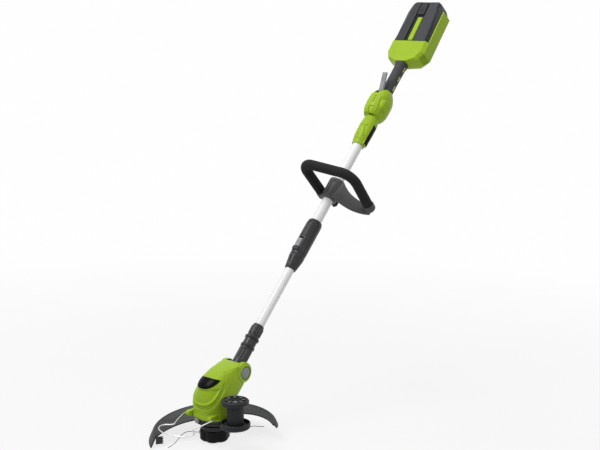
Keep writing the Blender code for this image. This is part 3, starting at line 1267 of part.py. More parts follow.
def control_stations():
    """List the sections of the control housing from its foot collar to the grip."""
    wall = SHELL_WALL
    collar = CONTROL_COLLAR_RADIUS
    neck = CONTROL_NECK_RADIUS
    waist = CONTROL_WAIST_RADIUS
    tube_fit = circle_shape(UPPER_TUBE_RADIUS + SEAT_GAP)
    grip_fit = circle_shape(GRIP_CORE_RADIUS + SEAT_GAP)
    low = -CONTROL_LOW_OFFSET
    bulge = (CONTROL_HALF_WIDTH, CONTROL_HALF_DEPTH, low, 2.4)
    hollow = (CONTROL_HALF_WIDTH - wall, CONTROL_HALF_DEPTH - wall, low, 2.4)
    neck_hollow = circle_shape(neck - wall)
    waist_hollow = circle_shape(waist - wall)
    tube_end = UPPER_TUBE_END + SEAT_GAP
    step = CONTROL_STEP
    end_wall = CONTROL_END - CONTROL_END_WALL
    taper = (CONTROL_HALF_WIDTH * 0.86, CONTROL_HALF_DEPTH * 0.80, low * 0.5, 2.2)
    taper_hollow = (taper[0] - wall, taper[1] - wall, low * 0.5, 2.2)
    end = circle_shape(CONTROL_END_RADIUS)
    end_hollow = circle_shape(CONTROL_END_RADIUS - wall * 0.5)
    return [(CONTROL_START, circle_shape(collar), tube_fit),
            (CONTROL_START + wall * 2.0, circle_shape(collar * 1.07), tube_fit),
            (tube_end, circle_shape(neck * 0.975), tube_fit),
            (tube_end + SEAT_GAP, circle_shape(neck * 0.975), neck_hollow),
            (CONTROL_NECK_END, circle_shape(neck), neck_hollow),
            (step - wall * 2.0, circle_shape(waist), waist_hollow),
            (step, circle_shape(waist), waist_hollow),
            (step + wall, (CONTROL_HALF_WIDTH * 0.84, CONTROL_HALF_DEPTH * 0.80, low, 2.3), waist_hollow),
            (CONTROL_WIDE_START, bulge, hollow),
            (CONTROL_WIDE_END, bulge, hollow),
            (CONTROL_WIDE_END + CONTROL_TAPER_LENGTH * 0.6, taper, taper_hollow),
            (end_wall - SEAT_GAP, circle_shape(CONTROL_END_RADIUS * 1.12), end_hollow),
            (end_wall, circle_shape(CONTROL_END_RADIUS * 1.10), grip_fit),
            (CONTROL_END, end, grip_fit)]


def make_control_housing(pole):
    """Make the two control housing halves and what shows on them."""
    green = (GREEN, 0.38)
    halves = []
    for side, word in ((-1.0, "left"), (1.0, "right")):
        shell = half_shell(control_stations(), side)
        halves.append(add_piece("control_housing_" + word, shell, green, pole))
    left, right = halves
    boss = disc(SIDE_CAP_RADIUS + SHELL_WALL * 0.5, CONTROL_HALF_WIDTH * 0.72, BOSS_FACE_X, 24)
    boss_place = (0.0, -SIDE_CAP_T, SIDE_CAP_S)
    quarter = (0.0, math.pi / 2.0, 0.0)
    combine(right, add_cutter("side_boss", boss, pole, boss_place, quarter), "UNION")
    top = SIDE_CAP_RADIUS
    rise = SIDE_CAP_THICKNESS
    profile = [(0.0, rise), (top * 0.55, rise), (top * 0.9, rise * 0.8), (top, rise * 0.35), (top, 0.0),
               (0.0, 0.0)]
    add_piece("side_cap", turned(profile, 24, closed=False), green, pole,
              (BOSS_FACE_X + SEAT_GAP, -SIDE_CAP_T, SIDE_CAP_S), quarter)
    lever_half = LEVER_WIDTH / 2.0 + RUN_GAP
    mouth = block((-lever_half, -CONTROL_HALF_DEPTH * 1.5, LEVER_PIVOT_S - 0.010),
                  (lever_half, -LEVER_PIVOT_T + 0.008, CONTROL_END + SEAT_GAP * 4.0))
    trigger_half = TRIGGER_WIDTH / 2.0 + RUN_GAP
    slot = block((-trigger_half, -TRIGGER_PIVOT_T - 0.004, TRIGGER_PIVOT_S - 0.007),
                 (trigger_half, CONTROL_HALF_DEPTH * 1.5, TRIGGER_PIVOT_S + TRIGGER_LENGTH + 0.001))
    near = SWITCH_WIDTH / 2.0 + SEAT_GAP
    for side, half_body in ((-1.0, left), (1.0, right)):
        boss = disc(SWITCH_BOSS_RADIUS, near, CONTROL_HALF_WIDTH - SHELL_WALL * 0.5, SMALL_ROUND)
        place = (0.0, -SWITCH_T, SWITCH_START + SWITCH_LENGTH / 2.0)
        turn = (0.0, side * math.pi / 2.0, 0.0)
        combine(half_body, add_cutter("switch_boss", boss, pole, place, turn), "UNION")
    mouth_cutter = add_cutter("lever_mouth", mouth, pole)
    slot_cutter = add_cutter("trigger_mouth", slot, pole)
    for half_body in halves:
        combine(half_body, mouth_cutter)
        combine(half_body, slot_cutter)
    make_label_strip(pole, right)


def make_label_strip(pole, host):
    """Make the bare dark strip let into the right side of the neck."""
    seat = CONTROL_NECK_RADIUS - STRIP_THICKNESS
    start = CONTROL_START + 0.005
    half = STRIP_WIDTH / 2.0
    body = sleeve(CONTROL_NECK_RADIUS + STRIP_THICKNESS * 0.3, seat, start, start + STRIP_LENGTH)
    strip = add_piece("label_strip", body, (BLACK, 0.3), pole)
    turn = (0.0, 0.0, STRIP_ANGLE)
    keep = block((seat * 0.6, -half, start - STRIP_LENGTH), (seat * 2.0, half, start + STRIP_LENGTH * 2.0))
    combine(strip, add_cutter("strip_edges", keep, pole, rotation=turn), "INTERSECT")
    inner = seat - SEAT_GAP
    grown = half + SEAT_GAP
    pocket = sleeve(CONTROL_NECK_RADIUS * 1.5, inner, start - SEAT_GAP, start + STRIP_LENGTH + SEAT_GAP)
    trimmed = add_cutter("strip_pocket", pocket, pole)
    low = (seat * 0.6, -grown, start - STRIP_LENGTH)
    edges = block(low, (seat * 3.0, grown, start + STRIP_LENGTH * 2.0))
    combine(trimmed, add_cutter("strip_pocket_edges", edges, pole, rotation=turn), "INTERSECT")
    combine(host, trimmed)


def make_controls(pole):
    """Make the lock-off lever, the trigger, their hinge pins and the switch between them."""
    thick = LEVER_THICKNESS
    slope = math.atan2(LEVER_RISE, LEVER_REACH)
    end = Vector((LEVER_REACH, LEVER_RISE))
    points = arc((0.0, 0.0), thick * 0.8, slope + math.pi / 2.0, slope + math.pi * 1.5, 8)
    points += [(thick, -thick * 0.8), (LEVER_REACH * 0.24, thick * 0.6)]
    points += arc(end, thick / 2.0, slope - math.pi / 2.0, slope + math.pi / 2.0, 8)
    points += [(LEVER_REACH * 0.26, thick * 1.8)]
    hole = arc((0.0, 0.0), HINGE_PIN_RADIUS + RUN_GAP / 2.0, 0.0, 2.0 * math.pi * 7 / 8, 7)
    mesh = flat(points, LEVER_WIDTH, [hole])
    mesh.transform(Matrix(((0, 0, 1, 0), (0, -1, 0, 0), (1, 0, 0, 0), (0, 0, 0, 1))))
    lever = add_piece("lock_off_lever", weld(mesh), ((0.52, 0.53, 0.54), 0.42), pole,
                      (0.0, -LEVER_PIVOT_T, LEVER_PIVOT_S))
    soften(lever, thick * 0.12, 1)
    depth = TRIGGER_DEPTH
    length = TRIGGER_LENGTH
    points = arc((0.0, 0.0), depth * 0.25, math.pi / 2.0, math.pi, 5)
    points += [(-depth * 0.25, -depth * 0.95), (length * 0.25, -depth), (length * 0.55, -depth * 0.62),
               (length, -depth * 0.30), (length, depth * 0.25)]
    mesh = flat(points, TRIGGER_WIDTH, [hole])
    mesh.transform(Matrix(((0, 0, 1, 0), (0, -1, 0, 0), (1, 0, 0, 0), (0, 0, 0, 1))))
    add_piece("trigger", weld(mesh), ((0.10, 0.10, 0.11), 0.5), pole,
              (0.0, -TRIGGER_PIVOT_T, TRIGGER_PIVOT_S))
    half = LEVER_WIDTH * 1.08
    pin = disc(HINGE_PIN_RADIUS, -half, half, TINY_ROUND)
    quarter = (0.0, math.pi / 2.0, 0.0)
    for word, height, offset in (("lever", LEVER_PIVOT_S, LEVER_PIVOT_T),
                                 ("trigger", TRIGGER_PIVOT_S, TRIGGER_PIVOT_T)):
        add_piece(word + "_pin", pin, ((0.6, 0.6, 0.6), 0.3, 1.0), pole, (0.0, -offset, height), quarter)
    half = SWITCH_WIDTH / 2.0
    deep = SWITCH_HEIGHT / 2.0
    body = block((-half, -deep, 0.0), (half, deep, SWITCH_LENGTH))
    add_piece("power_switch", body, ((0.05, 0.05, 0.05), 0.5), pole, (0.0, -SWITCH_T, SWITCH_START))


def make_grip(pole):
    """Make the rear grip: a core tube and a soft sleeve."""
    start = CONTROL_END - GRIP_CORE_IN_CONTROL
    end = BATTERY_SEAT + GRIP_CORE_IN_BATTERY
    core = sleeve(GRIP_CORE_RADIUS, GRIP_CORE_RADIUS - GRIP_CORE_WALL, 0.0, end - start)
    add_piece("grip_core", core, (CHARCOAL, 0.5), pole, (0.0, 0.0, start))
    low = CONTROL_END + SEAT_GAP
    high = BATTERY_SEAT + CRADLE_START - SEAT_GAP
    radius = GRIP_RADIUS
    inner = GRIP_CORE_RADIUS + SEAT_GAP
    profile = [(radius * 1.08, high), (radius * 1.08, high - radius * 0.55), (radius, high - radius * 0.75),
               (radius * 0.97, (low + high) / 2.0), (radius, low + radius * 0.3), (radius * 0.95, low),
               (inner, low), (inner, high)]
    add_piece("grip_sleeve", turned(profile), ((0.11, 0.11, 0.12), 0.7), pole)


def chamfered(half, front, back, chamfer, height):
    """Return an eight-sided section of the battery housing at a height."""
    inner = half - chamfer
    points = [(inner, front), (half, front - chamfer), (half, back + chamfer), (inner, back),
              (-inner, back), (-half, back + chamfer), (-half, front - chamfer), (-inner, front)]
    return [Vector((x, -depth, height)) for x, depth in points]


def cradle_mesh():
    """Loft the whole battery housing before it is split and hollowed."""
    half = CRADLE_HALF_WIDTH
    front = CRADLE_FRONT
    back = CRADLE_BACK
    chamfer = CRADLE_CHAMFER
    neck = GRIP_RADIUS * 1.25
    return loft([chamfered(neck, neck * 0.85, -neck, neck * 0.4, CRADLE_START),
                 chamfered(half * 0.80, front * 0.98, back * 0.84, chamfer, CRADLE_START + 0.0125),
                 chamfered(half, front, back, chamfer, CRADLE_SHOULDER),
                 chamfered(half, front, back, chamfer, CRADLE_END)])


def hollow_mesh():
    """Loft the room for the board inside the lower end of the battery housing."""
    half = CRADLE_HALF_WIDTH - CRADLE_WALL
    front = CRADLE_FRONT - CRADLE_WALL
    back = CRADLE_BACK + CRADLE_WALL
    chamfer = CRADLE_CHAMFER
    return loft([chamfered(half * 0.70, front, back * 0.80, chamfer, CRADLE_START + 0.0125 + CRADLE_WALL),
                 chamfered(half, front, back, chamfer, CRADLE_SHOULDER + CRADLE_WALL * 0.4),
                 chamfered(half, front, back, chamfer, BAY_START - CRADLE_WALL)])


def make_battery_housing(battery):
    """Make the cradle with its rails, its front cover and the terminal block."""
    green = (GREEN, 0.38)
    rear = add_piece("battery_housing_rear", cradle_mesh(), green, battery)
    front = add_piece("battery_housing_front", cradle_mesh(), green, battery)
    far = CRADLE_HALF_WIDTH * 4.0
    end = BAY_START
    above_low = block((-far, -far, -far), (far, -COVER_SPLIT + SEAT_GAP / 2.0, end))
    above_rail = block((-far, -far, end - SEAT_GAP), (far, -RAIL_TOP, far))
    below = block((-far, -COVER_SPLIT - SEAT_GAP / 2.0, -far), (far, far, far))
    beyond = block((-far, -far, end - SEAT_GAP), (far, far, far))
    combine(rear, add_cutter("cover_space", above_low, battery))
    combine(rear, add_cutter("rail_space", above_rail, battery))
    combine(front, add_cutter("cradle_space", below, battery))
    combine(front, add_cutter("bay_space", beyond, battery))
    bay_half = CRADLE_HALF_WIDTH - CRADLE_WALL
    bay = block((-bay_half, -far, BAY_START), (bay_half, -CRADLE_BACK - CRADLE_WALL, far))
    combine(rear, add_cutter("battery_bay", bay, battery))
    hollow = add_cutter("board_room", hollow_mesh(), battery)
    pole = battery.parent
    grip_hole = disc(GRIP_CORE_RADIUS + SEAT_GAP, BATTERY_SEAT + CRADLE_START - 0.02,
                     BATTERY_SEAT + GRIP_CORE_IN_BATTERY + SEAT_GAP)
    hole = add_cutter("grip_hole", grip_hole, pole)
    face_trim = disc(GRIP_RADIUS * 2.0, BATTERY_SEAT + CRADLE_START - 0.03, BATTERY_SEAT + CRADLE_START)
    trim = add_cutter("grip_face", face_trim, pole)
    for shell in (rear, front):
        combine(shell, hollow)
        combine(shell, hole)
        combine(shell, trim)
    make_terminals(battery, rear)


def terminal_blades(grow, low, high):
    """Return the contact blades as one mesh of separate bodies, grown by a clearance."""
    bodies = []
    half = TERMINAL_THICKNESS / 2.0 + grow
    for index in range(TERMINAL_COUNT):
        x = (index - (TERMINAL_COUNT - 1) / 2.0) * TERMINAL_SPACING
        blade = block((x - half, TERMINAL_DEPTH - grow, low - grow),
                      (x + half, TERMINAL_DEPTH + TERMINAL_WIDTH + grow, high + grow))
        bodies.append((blade, Matrix.Identity(4)))
    return gather(bodies)


def make_terminals(battery, rear):
    """Make the terminal block behind the bay's end wall, with blades that stand into the battery."""
    face = BAY_START - CRADLE_WALL - SEAT_GAP
    half = TERMINAL_SPACING * TERMINAL_COUNT / 2.0
    low = (-half, TERMINAL_DEPTH - TERMINAL_BLOCK / 4.0, face - TERMINAL_BLOCK)
    high = (half, TERMINAL_DEPTH + TERMINAL_WIDTH + TERMINAL_BLOCK / 4.0, face)
    piece = add_piece("terminal_block", block(low, high), ((0.30, 0.27, 0.20), 0.4), battery)
    tip = BAY_START + TERMINAL_REACH
    blades = terminal_blades(0.0, face - TERMINAL_BLOCK / 2.0, tip)
    combine(piece, add_cutter("terminal_blades", blades, battery), "UNION")
    combine(rear, add_cutter("terminal_slots", terminal_blades(SEAT_GAP, face, tip), battery))


def battery_section(height, shrink, face_half, taper=0.0, left_taper=0.0):
    """Return a section of the battery pack, drawn in by shrink and at its right and left side by the tapers."""
    full = CRADLE_HALF_WIDTH - CRADLE_WALL - SEAT_GAP - shrink
    half = full - taper
    left = full - left_taper
    front = BATTERY_FACE - shrink
    back = CRADLE_BACK + CRADLE_WALL + SEAT_GAP + shrink
    face = face_half - shrink
    points = [(face, front), (half, RAIL_TOP), (half, back + 0.004), (half - 0.004, back),
              (-left + 0.004, back), (-left, back + 0.004), (-left, RAIL_TOP), (-face, front)]
    return [Vector((x, -depth, height)) for x, depth in points]


def make_battery(battery):
    """Make the slide-in battery: case, cells, the bright rib on its face and the latch."""
    start = BAY_START + SEAT_GAP
    end = start + BATTERY_LENGTH
    lip = BATTERY_WALL * 2.0
    shoulder = end - BATTERY_SHOULDER
    rings = [battery_section(start, 0.0, BATTERY_FACE_HALF),
             battery_section(shoulder, 0.0, BATTERY_TOP_HALF),
             battery_section(end - lip, 0.0, BATTERY_TOP_HALF, BATTERY_TAPER, BATTERY_LEFT_TAPER),
             battery_section(end, lip * 0.5, BATTERY_TOP_HALF, BATTERY_TAPER, BATTERY_LEFT_TAPER)]
    case = add_piece("battery_case", loft(rings), ((0.085, 0.085, 0.095), 0.6), battery)
    wall = BATTERY_WALL
    inner = [battery_section(start + wall, wall + CHANNEL_DEPTH, BATTERY_FACE_HALF),
             battery_section(shoulder, wall + CHANNEL_DEPTH, BATTERY_TOP_HALF)]
    combine(case, add_cutter("battery_hollow", loft(inner), battery))
    half = CHANNEL_WIDTH / 2.0
    floor = BATTERY_FACE - CHANNEL_DEPTH
    low = (CHANNEL_X - half, -BATTERY_FACE * 2.0, start - lip)
    channel = block(low, (CHANNEL_X + half, -floor, end + lip))
    combine(case, add_cutter("face_channel", channel, battery))
    slots = terminal_blades(RUN_GAP, start - BATTERY_WALL, start + BATTERY_WALL * 2.0)
    combine(case, add_cutter("case_slots", slots, battery))
    half = RIB_WIDTH / 2.0
    base = -floor - SEAT_GAP
    low = (CHANNEL_X - half * 0.2, base - RIB_HEIGHT, start)
    rib = block(low, (CHANNEL_X + half * 1.8, base, start + RIB_LENGTH))
    soften(add_piece("battery_rib", rib, (GREEN, 0.4), battery), RIB_HEIGHT * 0.35)
    half = LATCH_WIDTH / 2.0
    latch_end = end - lip - SEAT_GAP
    latch = block((CHANNEL_X - half, base - LATCH_THICKNESS, latch_end - LATCH_LENGTH),
                  (CHANNEL_X + half, base, latch_end))
    soften(add_piece("battery_latch", latch, ((0.16, 0.16, 0.17), 0.35), battery), LATCH_THICKNESS * 0.2)
    make_cells(battery, start)


def make_cells(battery, start):
    """Make the wrapped pack of cells inside the case, a row of touching cylinders two deep."""
    radius = CELL_RADIUS
    floor = -CRADLE_BACK - CRADLE_WALL - SEAT_GAP * 2.0 - BATTERY_WALL - CHANNEL_DEPTH - radius
    low = start + BATTERY_WALL + TERMINAL_REACH + radius
    pitch = radius * 1.96
    half = CELL_LENGTH / 2.0
    span = pitch * (CELL_COUNT - 1)
    core = block((-half, floor - pitch, low), (half, floor, low + span))
    pack = add_piece("cell_pack", core, ((0.10, 0.28, 0.42), 0.5), battery)
    cell = disc(radius, -half, half, 12)
    rows = []
    for row in range(CELL_ROWS):
        for column in range(CELL_COUNT):
            place = Matrix.Translation((0.0, floor - row * pitch, low + column * pitch))
            rows.append((cell, place @ axis_to_x()))
    for index in (0, 1):
        cells = gather(rows[index::2])
        combine(pack, add_cutter(f"cells_{index + 1}", cells, battery), "UNION")


def make_trimmer():
    """Build every piece of the trimmer in its place."""
    start_scene()
    pole = frame_at("pole_frame", None, (0.0, PIVOT_Y, PIVOT_Z), POLE_ANGLE - math.pi / 2.0)
    battery = frame_at("battery_frame", pole, (0.0, 0.0, BATTERY_SEAT), BATTERY_TILT)
    make_tubes(pole)
    make_shaft_clamp(pole)
    make_pivot_sleeve(pole)
    make_motor_housing()
    make_name_plate()
    make_motor()
    make_guard()
    make_hub()
    make_wire_guard()
    make_wheel()
    make_spool_cap()
    make_spool()
    make_feed_knob()
    make_line_ends()
    make_handle(pole)
    make_control_housing(pole)
    make_controls(pole)
    make_grip(pole)
    make_battery_housing(battery)
    make_battery(battery)


make_trimmer()
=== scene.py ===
"""Looks of a cordless string trimmer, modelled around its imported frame.

Lengths are in metres, in the frame's own space: the spool turns about +Z at the origin, the
head faces -Y and the pole leans up and away along +Y. A piece on the pole is made upright
about Z, with -Y as the upper side of the pole, and then laid along the pole by POLE.
"""
import json
import math

import bmesh
import bpy
from bpy.props import FloatProperty, FloatVectorProperty, IntProperty, PointerProperty
from mathutils import Matrix, Vector


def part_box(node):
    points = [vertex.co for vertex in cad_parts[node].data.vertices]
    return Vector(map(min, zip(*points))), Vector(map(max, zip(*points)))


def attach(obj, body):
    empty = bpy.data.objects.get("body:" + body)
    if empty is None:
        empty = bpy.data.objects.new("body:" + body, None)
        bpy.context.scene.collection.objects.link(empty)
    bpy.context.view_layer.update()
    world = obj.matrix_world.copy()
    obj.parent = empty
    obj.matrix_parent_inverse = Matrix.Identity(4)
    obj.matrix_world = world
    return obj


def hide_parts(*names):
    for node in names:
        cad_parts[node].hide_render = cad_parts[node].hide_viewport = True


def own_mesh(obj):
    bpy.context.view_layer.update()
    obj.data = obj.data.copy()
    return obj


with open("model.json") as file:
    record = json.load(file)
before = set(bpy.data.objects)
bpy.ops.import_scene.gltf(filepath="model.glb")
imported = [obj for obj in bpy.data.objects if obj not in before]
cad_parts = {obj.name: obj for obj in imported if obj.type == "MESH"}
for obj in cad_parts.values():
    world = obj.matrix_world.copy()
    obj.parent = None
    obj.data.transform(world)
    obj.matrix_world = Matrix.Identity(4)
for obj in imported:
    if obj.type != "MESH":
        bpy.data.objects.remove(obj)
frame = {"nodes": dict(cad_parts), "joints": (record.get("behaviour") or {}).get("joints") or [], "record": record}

bl_info = {
    "name": "String Trimmer Looks",
    "version": (1, 0, 0),
    "blender": (4, 5, 0),
    "location": "View3D > Sidebar > Trimmer",
    "description": "Models and finishes the pieces of a cordless string trimmer around its frame",
    "category": "Object",
}

JOINTS = {joint["name"]: joint for joint in frame["joints"]}
NODES = frame["nodes"]
SLOTS = {part["node"]: part["material_slot"] for part in frame["record"]["subparts"]}
BODIES = {node: body for body, nodes in frame["record"]["behaviour"]["bodies"].items()
          for node in nodes}
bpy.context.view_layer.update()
QUARTER = math.pi / 2.0
TURN = 2.0 * math.pi
MERGE = 0.00001


def shift(x, y, z):
    """Return the matrix of a move."""
    return Matrix.Translation((x, y, z))


def spin(degrees, axis):
    """Return the matrix of a turn."""
    return Matrix.Rotation(math.radians(degrees), 4, axis)


def upright_frame(origin, up):
    """Return the matrix whose Z runs along up and whose X is the world's."""
    side = Vector((1.0, 0.0, 0.0))
    turn = Matrix((side, up.cross(side), up)).transposed()
    return Matrix.Translation(origin) @ turn.to_4x4()


# Places on the pole, as heights above the head's pivot
PIVOT = Vector(JOINTS["head_tilt"]["pos_m"])
POLE = upright_frame(PIVOT, Vector(JOINTS["shaft_slide"]["axis"]))
CLAMP_FOOT = 0.3505
CLAMP_STEP = 0.395
CLAMP_MOUTH = 0.452
STRAP_FOOT = 0.523
HANDLE_SEAT = 0.545
HANDLE_TILT = -8.0
HANDLE = POLE @ shift(0.0, 0.0, HANDLE_SEAT) @ spin(HANDLE_TILT, "X")
BATTERY_SEAT = 1.0
BATTERY = upright_frame(POLE @ Vector((0.0, 0.0, BATTERY_SEAT)),
                        Vector(JOINTS["battery_slide"]["axis"]))
TO_X = spin(90, "Y")

# Radii that clear the upper tube, the lower tube and the pivot pin, and the gap between pieces
UPPER_BORE = 0.0143
LOWER_BORE = 0.0123
PIN_BORE = 0.0053
GAP = 0.0003

# The two free ends of the cutting line, from their eyelets outwards
LINE_DIAMETER = 0.0017
LINE_ROUTES = {
    "left": [(-0.0268, -0.0209, 0.02), (-0.0315, -0.0246, 0.02), (-0.0372, -0.029, 0.02),
             (-0.048, -0.034, 0.0203), (-0.055, -0.044, 0.0195), (-0.053, -0.06, 0.018),
             (-0.0465, -0.076, 0.0155), (-0.04, -0.093, 0.0125), (-0.037, -0.108, 0.009),
             (-0.0385, -0.121, 0.006)],
    "right": [(0.0268, 0.0209, 0.02), (0.0315, 0.0246, 0.02), (0.0372, 0.029, 0.02),
              (0.045, 0.037, 0.0205), (0.049, 0.05, 0.0215), (0.048, 0.064, 0.0225),
              (0.046, 0.076, 0.0235), (0.052, 0.086, 0.024), (0.062, 0.092, 0.0235),
              (0.07, 0.101, 0.0225)],
}


def colour_property(name, description, default):
    """Make one colour property."""
    return FloatVectorProperty(name=name, description=description, default=default, subtype="COLOR",
                               size=3, min=0.0, max=1.0)


def length_property(name, description, default):
    """Make one length property in metres."""
    return FloatProperty(name=name, description=description, default=default, min=0.0,
                         unit="LENGTH", precision=5)


class TrimmerSizes(bpy.types.PropertyGroup):
    """Sizes that a user would change."""
    grip_insert: length_property("Grip insert", "Length of a pale insert in the rear grip", 0.017)
    vent_count: IntProperty(name="Vents", description="Slots in the battery housing", default=8,
                            min=0)
    steps: IntProperty(name="Roundness", description="Faces round a turned piece", default=64,
                       min=16)


class TrimmerColours(bpy.types.PropertyGroup):
    """Colours that a user would change, in linear light."""
    lime: colour_property("Lime", "Moulded housings", (0.35, 0.527, 0.015))
    charcoal: colour_property("Charcoal", "Clamp, sleeve and brackets", (0.018, 0.0185, 0.02))
    guard: colour_property("Guard", "Debris guard and edging wheel", (0.029, 0.03, 0.032))
    black: colour_property("Black", "Spool cap, knobs and trigger", (0.007, 0.007, 0.0074))
    grey: colour_property("Light grey", "Buttons and lock-off lever", (0.34, 0.345, 0.36))
    tube: colour_property("Tube", "Painted pole", (0.92, 0.92, 0.93))
    line: colour_property("Line", "Nylon cutting line", (0.3, 0.33, 0.24))


def sizes():
    """Return the sizes in use."""
    return bpy.context.scene.trimmer_sizes


def colours():
    """Return the colours in use."""
    return bpy.context.scene.trimmer_colours


class Wire:
    """A shader socket that can stand in Python arithmetic."""

    def __init__(self, look, socket):
        self.look = look
        self.socket = socket

    def maths(self, operation, first, second=0.0):
        """Add one Math node."""
        return self.look.node("ShaderNodeMath", {"operation": operation}, {0: first, 1: second})

    def __add__(self, other):
        return self.maths("ADD", self, other)

    def __sub__(self, other):
        return self.maths("SUBTRACT", self, other)

    def __mul__(self, other):
        return self.maths("MULTIPLY", self, other)

    def __rsub__(self, other):
        return self.maths("SUBTRACT", other, self)

    __radd__ = __add__
    __rmul__ = __mul__

    def above(self, low, high):
        """Rise smoothly from 0 at low to 1 at high."""
        settings = {"interpolation_type": "SMOOTHSTEP"}
        return self.look.node("ShaderNodeMapRange", settings,
                              {"Value": self, "From Min": low, "From Max": high})

    def wave(self, pitch):
        """Return the sine of this length, one turn for each pitch."""
        return self.maths("SINE", self * (TURN / pitch))


class Look:
    """One procedural material: nodes on a Principled shader."""

    def __init__(self, name, **constants):
        self.material = bpy.data.materials.new(name)
        self.material.use_nodes = True
        self.tree = self.material.node_tree
        self.shader = self.tree.nodes["Principled BSDF"]
        for socket, value in constants.items():
            title = socket.replace("_", " ").title().replace("Ior", "IOR")
            self.shader.inputs[title].default_value = value
        self.where = self.node("ShaderNodeTexCoord", {}, {}, "Object")

    def node(self, kind, settings, sockets, output=0):
        """Add a node, set it, feed its sockets with values or wires, and return one output."""
        node = self.tree.nodes.new(kind)
        for key, value in settings.items():
            setattr(node, key, value)
        for key, value in sockets.items():
            if isinstance(value, Wire):
                self.tree.links.new(value.socket, node.inputs[key])
            else:
                node.inputs[key].default_value = value
        return Wire(self, node.outputs[output])

    def finish(self, colour, roughness, normal):
        """Feed the shader's colour, roughness and normal, and return the look."""
        for socket, wire in (("Base Color", colour), ("Roughness", roughness), ("Normal", normal)):
            self.tree.links.new(wire.socket, self.shader.inputs[socket])
        return self

    def local(self, place):
        """Return Object coordinates turned into the frame of a place."""
        back = place.inverted()
        sockets = {"Vector": self.where, "Location": back.to_translation(),
                   "Rotation": back.to_euler()}
        return self.node("ShaderNodeMapping", {}, sockets)

    def axis(self, vector, letter):
        """Return one coordinate of a vector."""
        return self.node("ShaderNodeSeparateXYZ", {}, {0: vector}, "XYZ".index(letter))

    def stretched(self, vector, scale):
        """Return a vector scaled on each axis."""
        return self.node("ShaderNodeVectorMath", {"operation": "MULTIPLY"}, {0: vector, 1: scale})

    def noise(self, vector, size, detail=2.0, rough=0.5):
        """Return noise whose blots are about size across."""
        sockets = {"Vector": vector, "Scale": 1.0 / size, "Detail": detail, "Roughness": rough}
        return self.node("ShaderNodeTexNoise", {}, sockets)

    def cells(self, vector, size):
        """Return the distance to the middle of cells about size across."""
        return self.node("ShaderNodeTexVoronoi", {}, {"Vector": vector, "Scale": 1.0 / size})

    def mix(self, factor, first, second):
        """Blend two colours."""
        colours_in = {0: factor}
        for index, value in ((6, first), (7, second)):
            colours_in[index] = value if isinstance(value, Wire) else (*value, 1.0)
        return self.node("ShaderNodeMix", {"data_type": "RGBA"}, colours_in, 2)

    def edges(self, radius):
        """Return a mask of the edges sharper than a radius."""
        round_normal = self.node("ShaderNodeBevel", {"samples": 4}, {"Radius": radius})
        flat_normal = self.node("ShaderNodeNewGeometry", {}, {}, "Normal")
        along = self.node("ShaderNodeVectorMath", {"operation": "DOT_PRODUCT"},
                          {0: round_normal, 1: flat_normal}, "Value")
        return (1.0 - along).above(0.01, 0.16)

    def bump(self, height, depth, under=None):
        """Raise the surface by a height from 0 to 1."""
        sockets = {"Height": height, "Distance": depth, "Strength": 1.0}
        if under:
            sockets["Normal"] = under
        return self.node("ShaderNodeBump", {}, sockets)


def shaded(colour, factor):
    """Return a colour made darker or lighter."""
    return tuple(min(1.0, part * factor) for part in colour)


def plastic(name, colour, roughness, grain=0.00045, wear=0.35, mottle=0.1, specular=0.25):
    """Make moulded plastic: fine sparked grain, faint clouding, handling marks and rubbed edges."""
    look = Look(name, roughness=roughness, specular_ior_level=specular)
    cloud = look.noise(look.where, 0.055, 3.0)
    speck = look.noise(look.where, grain, 1.0)
    rubbed = look.noise(look.where, 0.012, 4.0, 0.65).above(0.42, 0.62)
    streaks = look.stretched(look.where, (1.0, 0.12, 0.16))
    scratch = look.noise(streaks, 0.0011, 2.0).above(0.66, 0.74)
    edge = look.edges(0.0007) * rubbed
    dark, light = shaded(colour, 1.0 - mottle), shaded(colour, 1.0 + mottle * 0.5)
    tone = look.mix(cloud.above(0.25, 0.75), dark, light)
    pale = tuple(part + (0.75 - part) * 0.3 for part in colour)
    tone = look.mix(edge * wear, tone, pale)
    tone = look.mix(scratch * rubbed * (wear * 0.25), tone, pale)
    rough = speck * 0.1 + cloud * 0.08 + scratch * 0.06 - edge * 0.12 + (roughness - 0.09)
    return look.finish(tone, rough, look.bump(speck - scratch * 0.5, 0.00004))


def metal(name, colour, roughness):
    """Make drawn or turned metal: fine lines along its working, dulled in patches."""
    look = Look(name, metallic=1.0)
    lines = look.noise(look.stretched(look.where, (1.0, 1.0, 0.05)), 0.0004, 3.0)
    dull = look.noise(look.where, 0.01, 4.0).above(0.4, 0.7)
    tone = look.mix(dull * 0.35, colour, shaded(colour, 0.72))
    tone = look.mix(look.edges(0.0004) * 0.5, tone, shaded(colour, 1.25))
    return look.finish(tone, lines * 0.14 + dull * 0.12 + (roughness - 0.1),
                       look.bump(lines, 0.00002))


def painted_tube():
    """Make the satin paint of the pole, with faint drawing lines and orange peel."""
    colour = tuple(colours().tube)
    look = Look("painted_tube", coat_weight=0.15, coat_roughness=0.25, specular_ior_level=0.4)
    along = look.local(POLE)
    peel = look.noise(along, 0.0016, 2.0)
    lines = look.noise(look.stretched(along, (1.0, 1.0, 0.004)), 0.0009, 2.0)
    smudge = look.noise(along, 0.03, 4.0).above(0.5, 0.8)
    tone = look.mix(smudge * 0.4 + lines * 0.2, colour, shaded(colour, 0.95))
    return look.finish(tone, peel * 0.06 + smudge * 0.06 + lines * 0.05 + 0.3,
                       look.bump(peel * 0.6 + lines * 0.4, 0.000012))


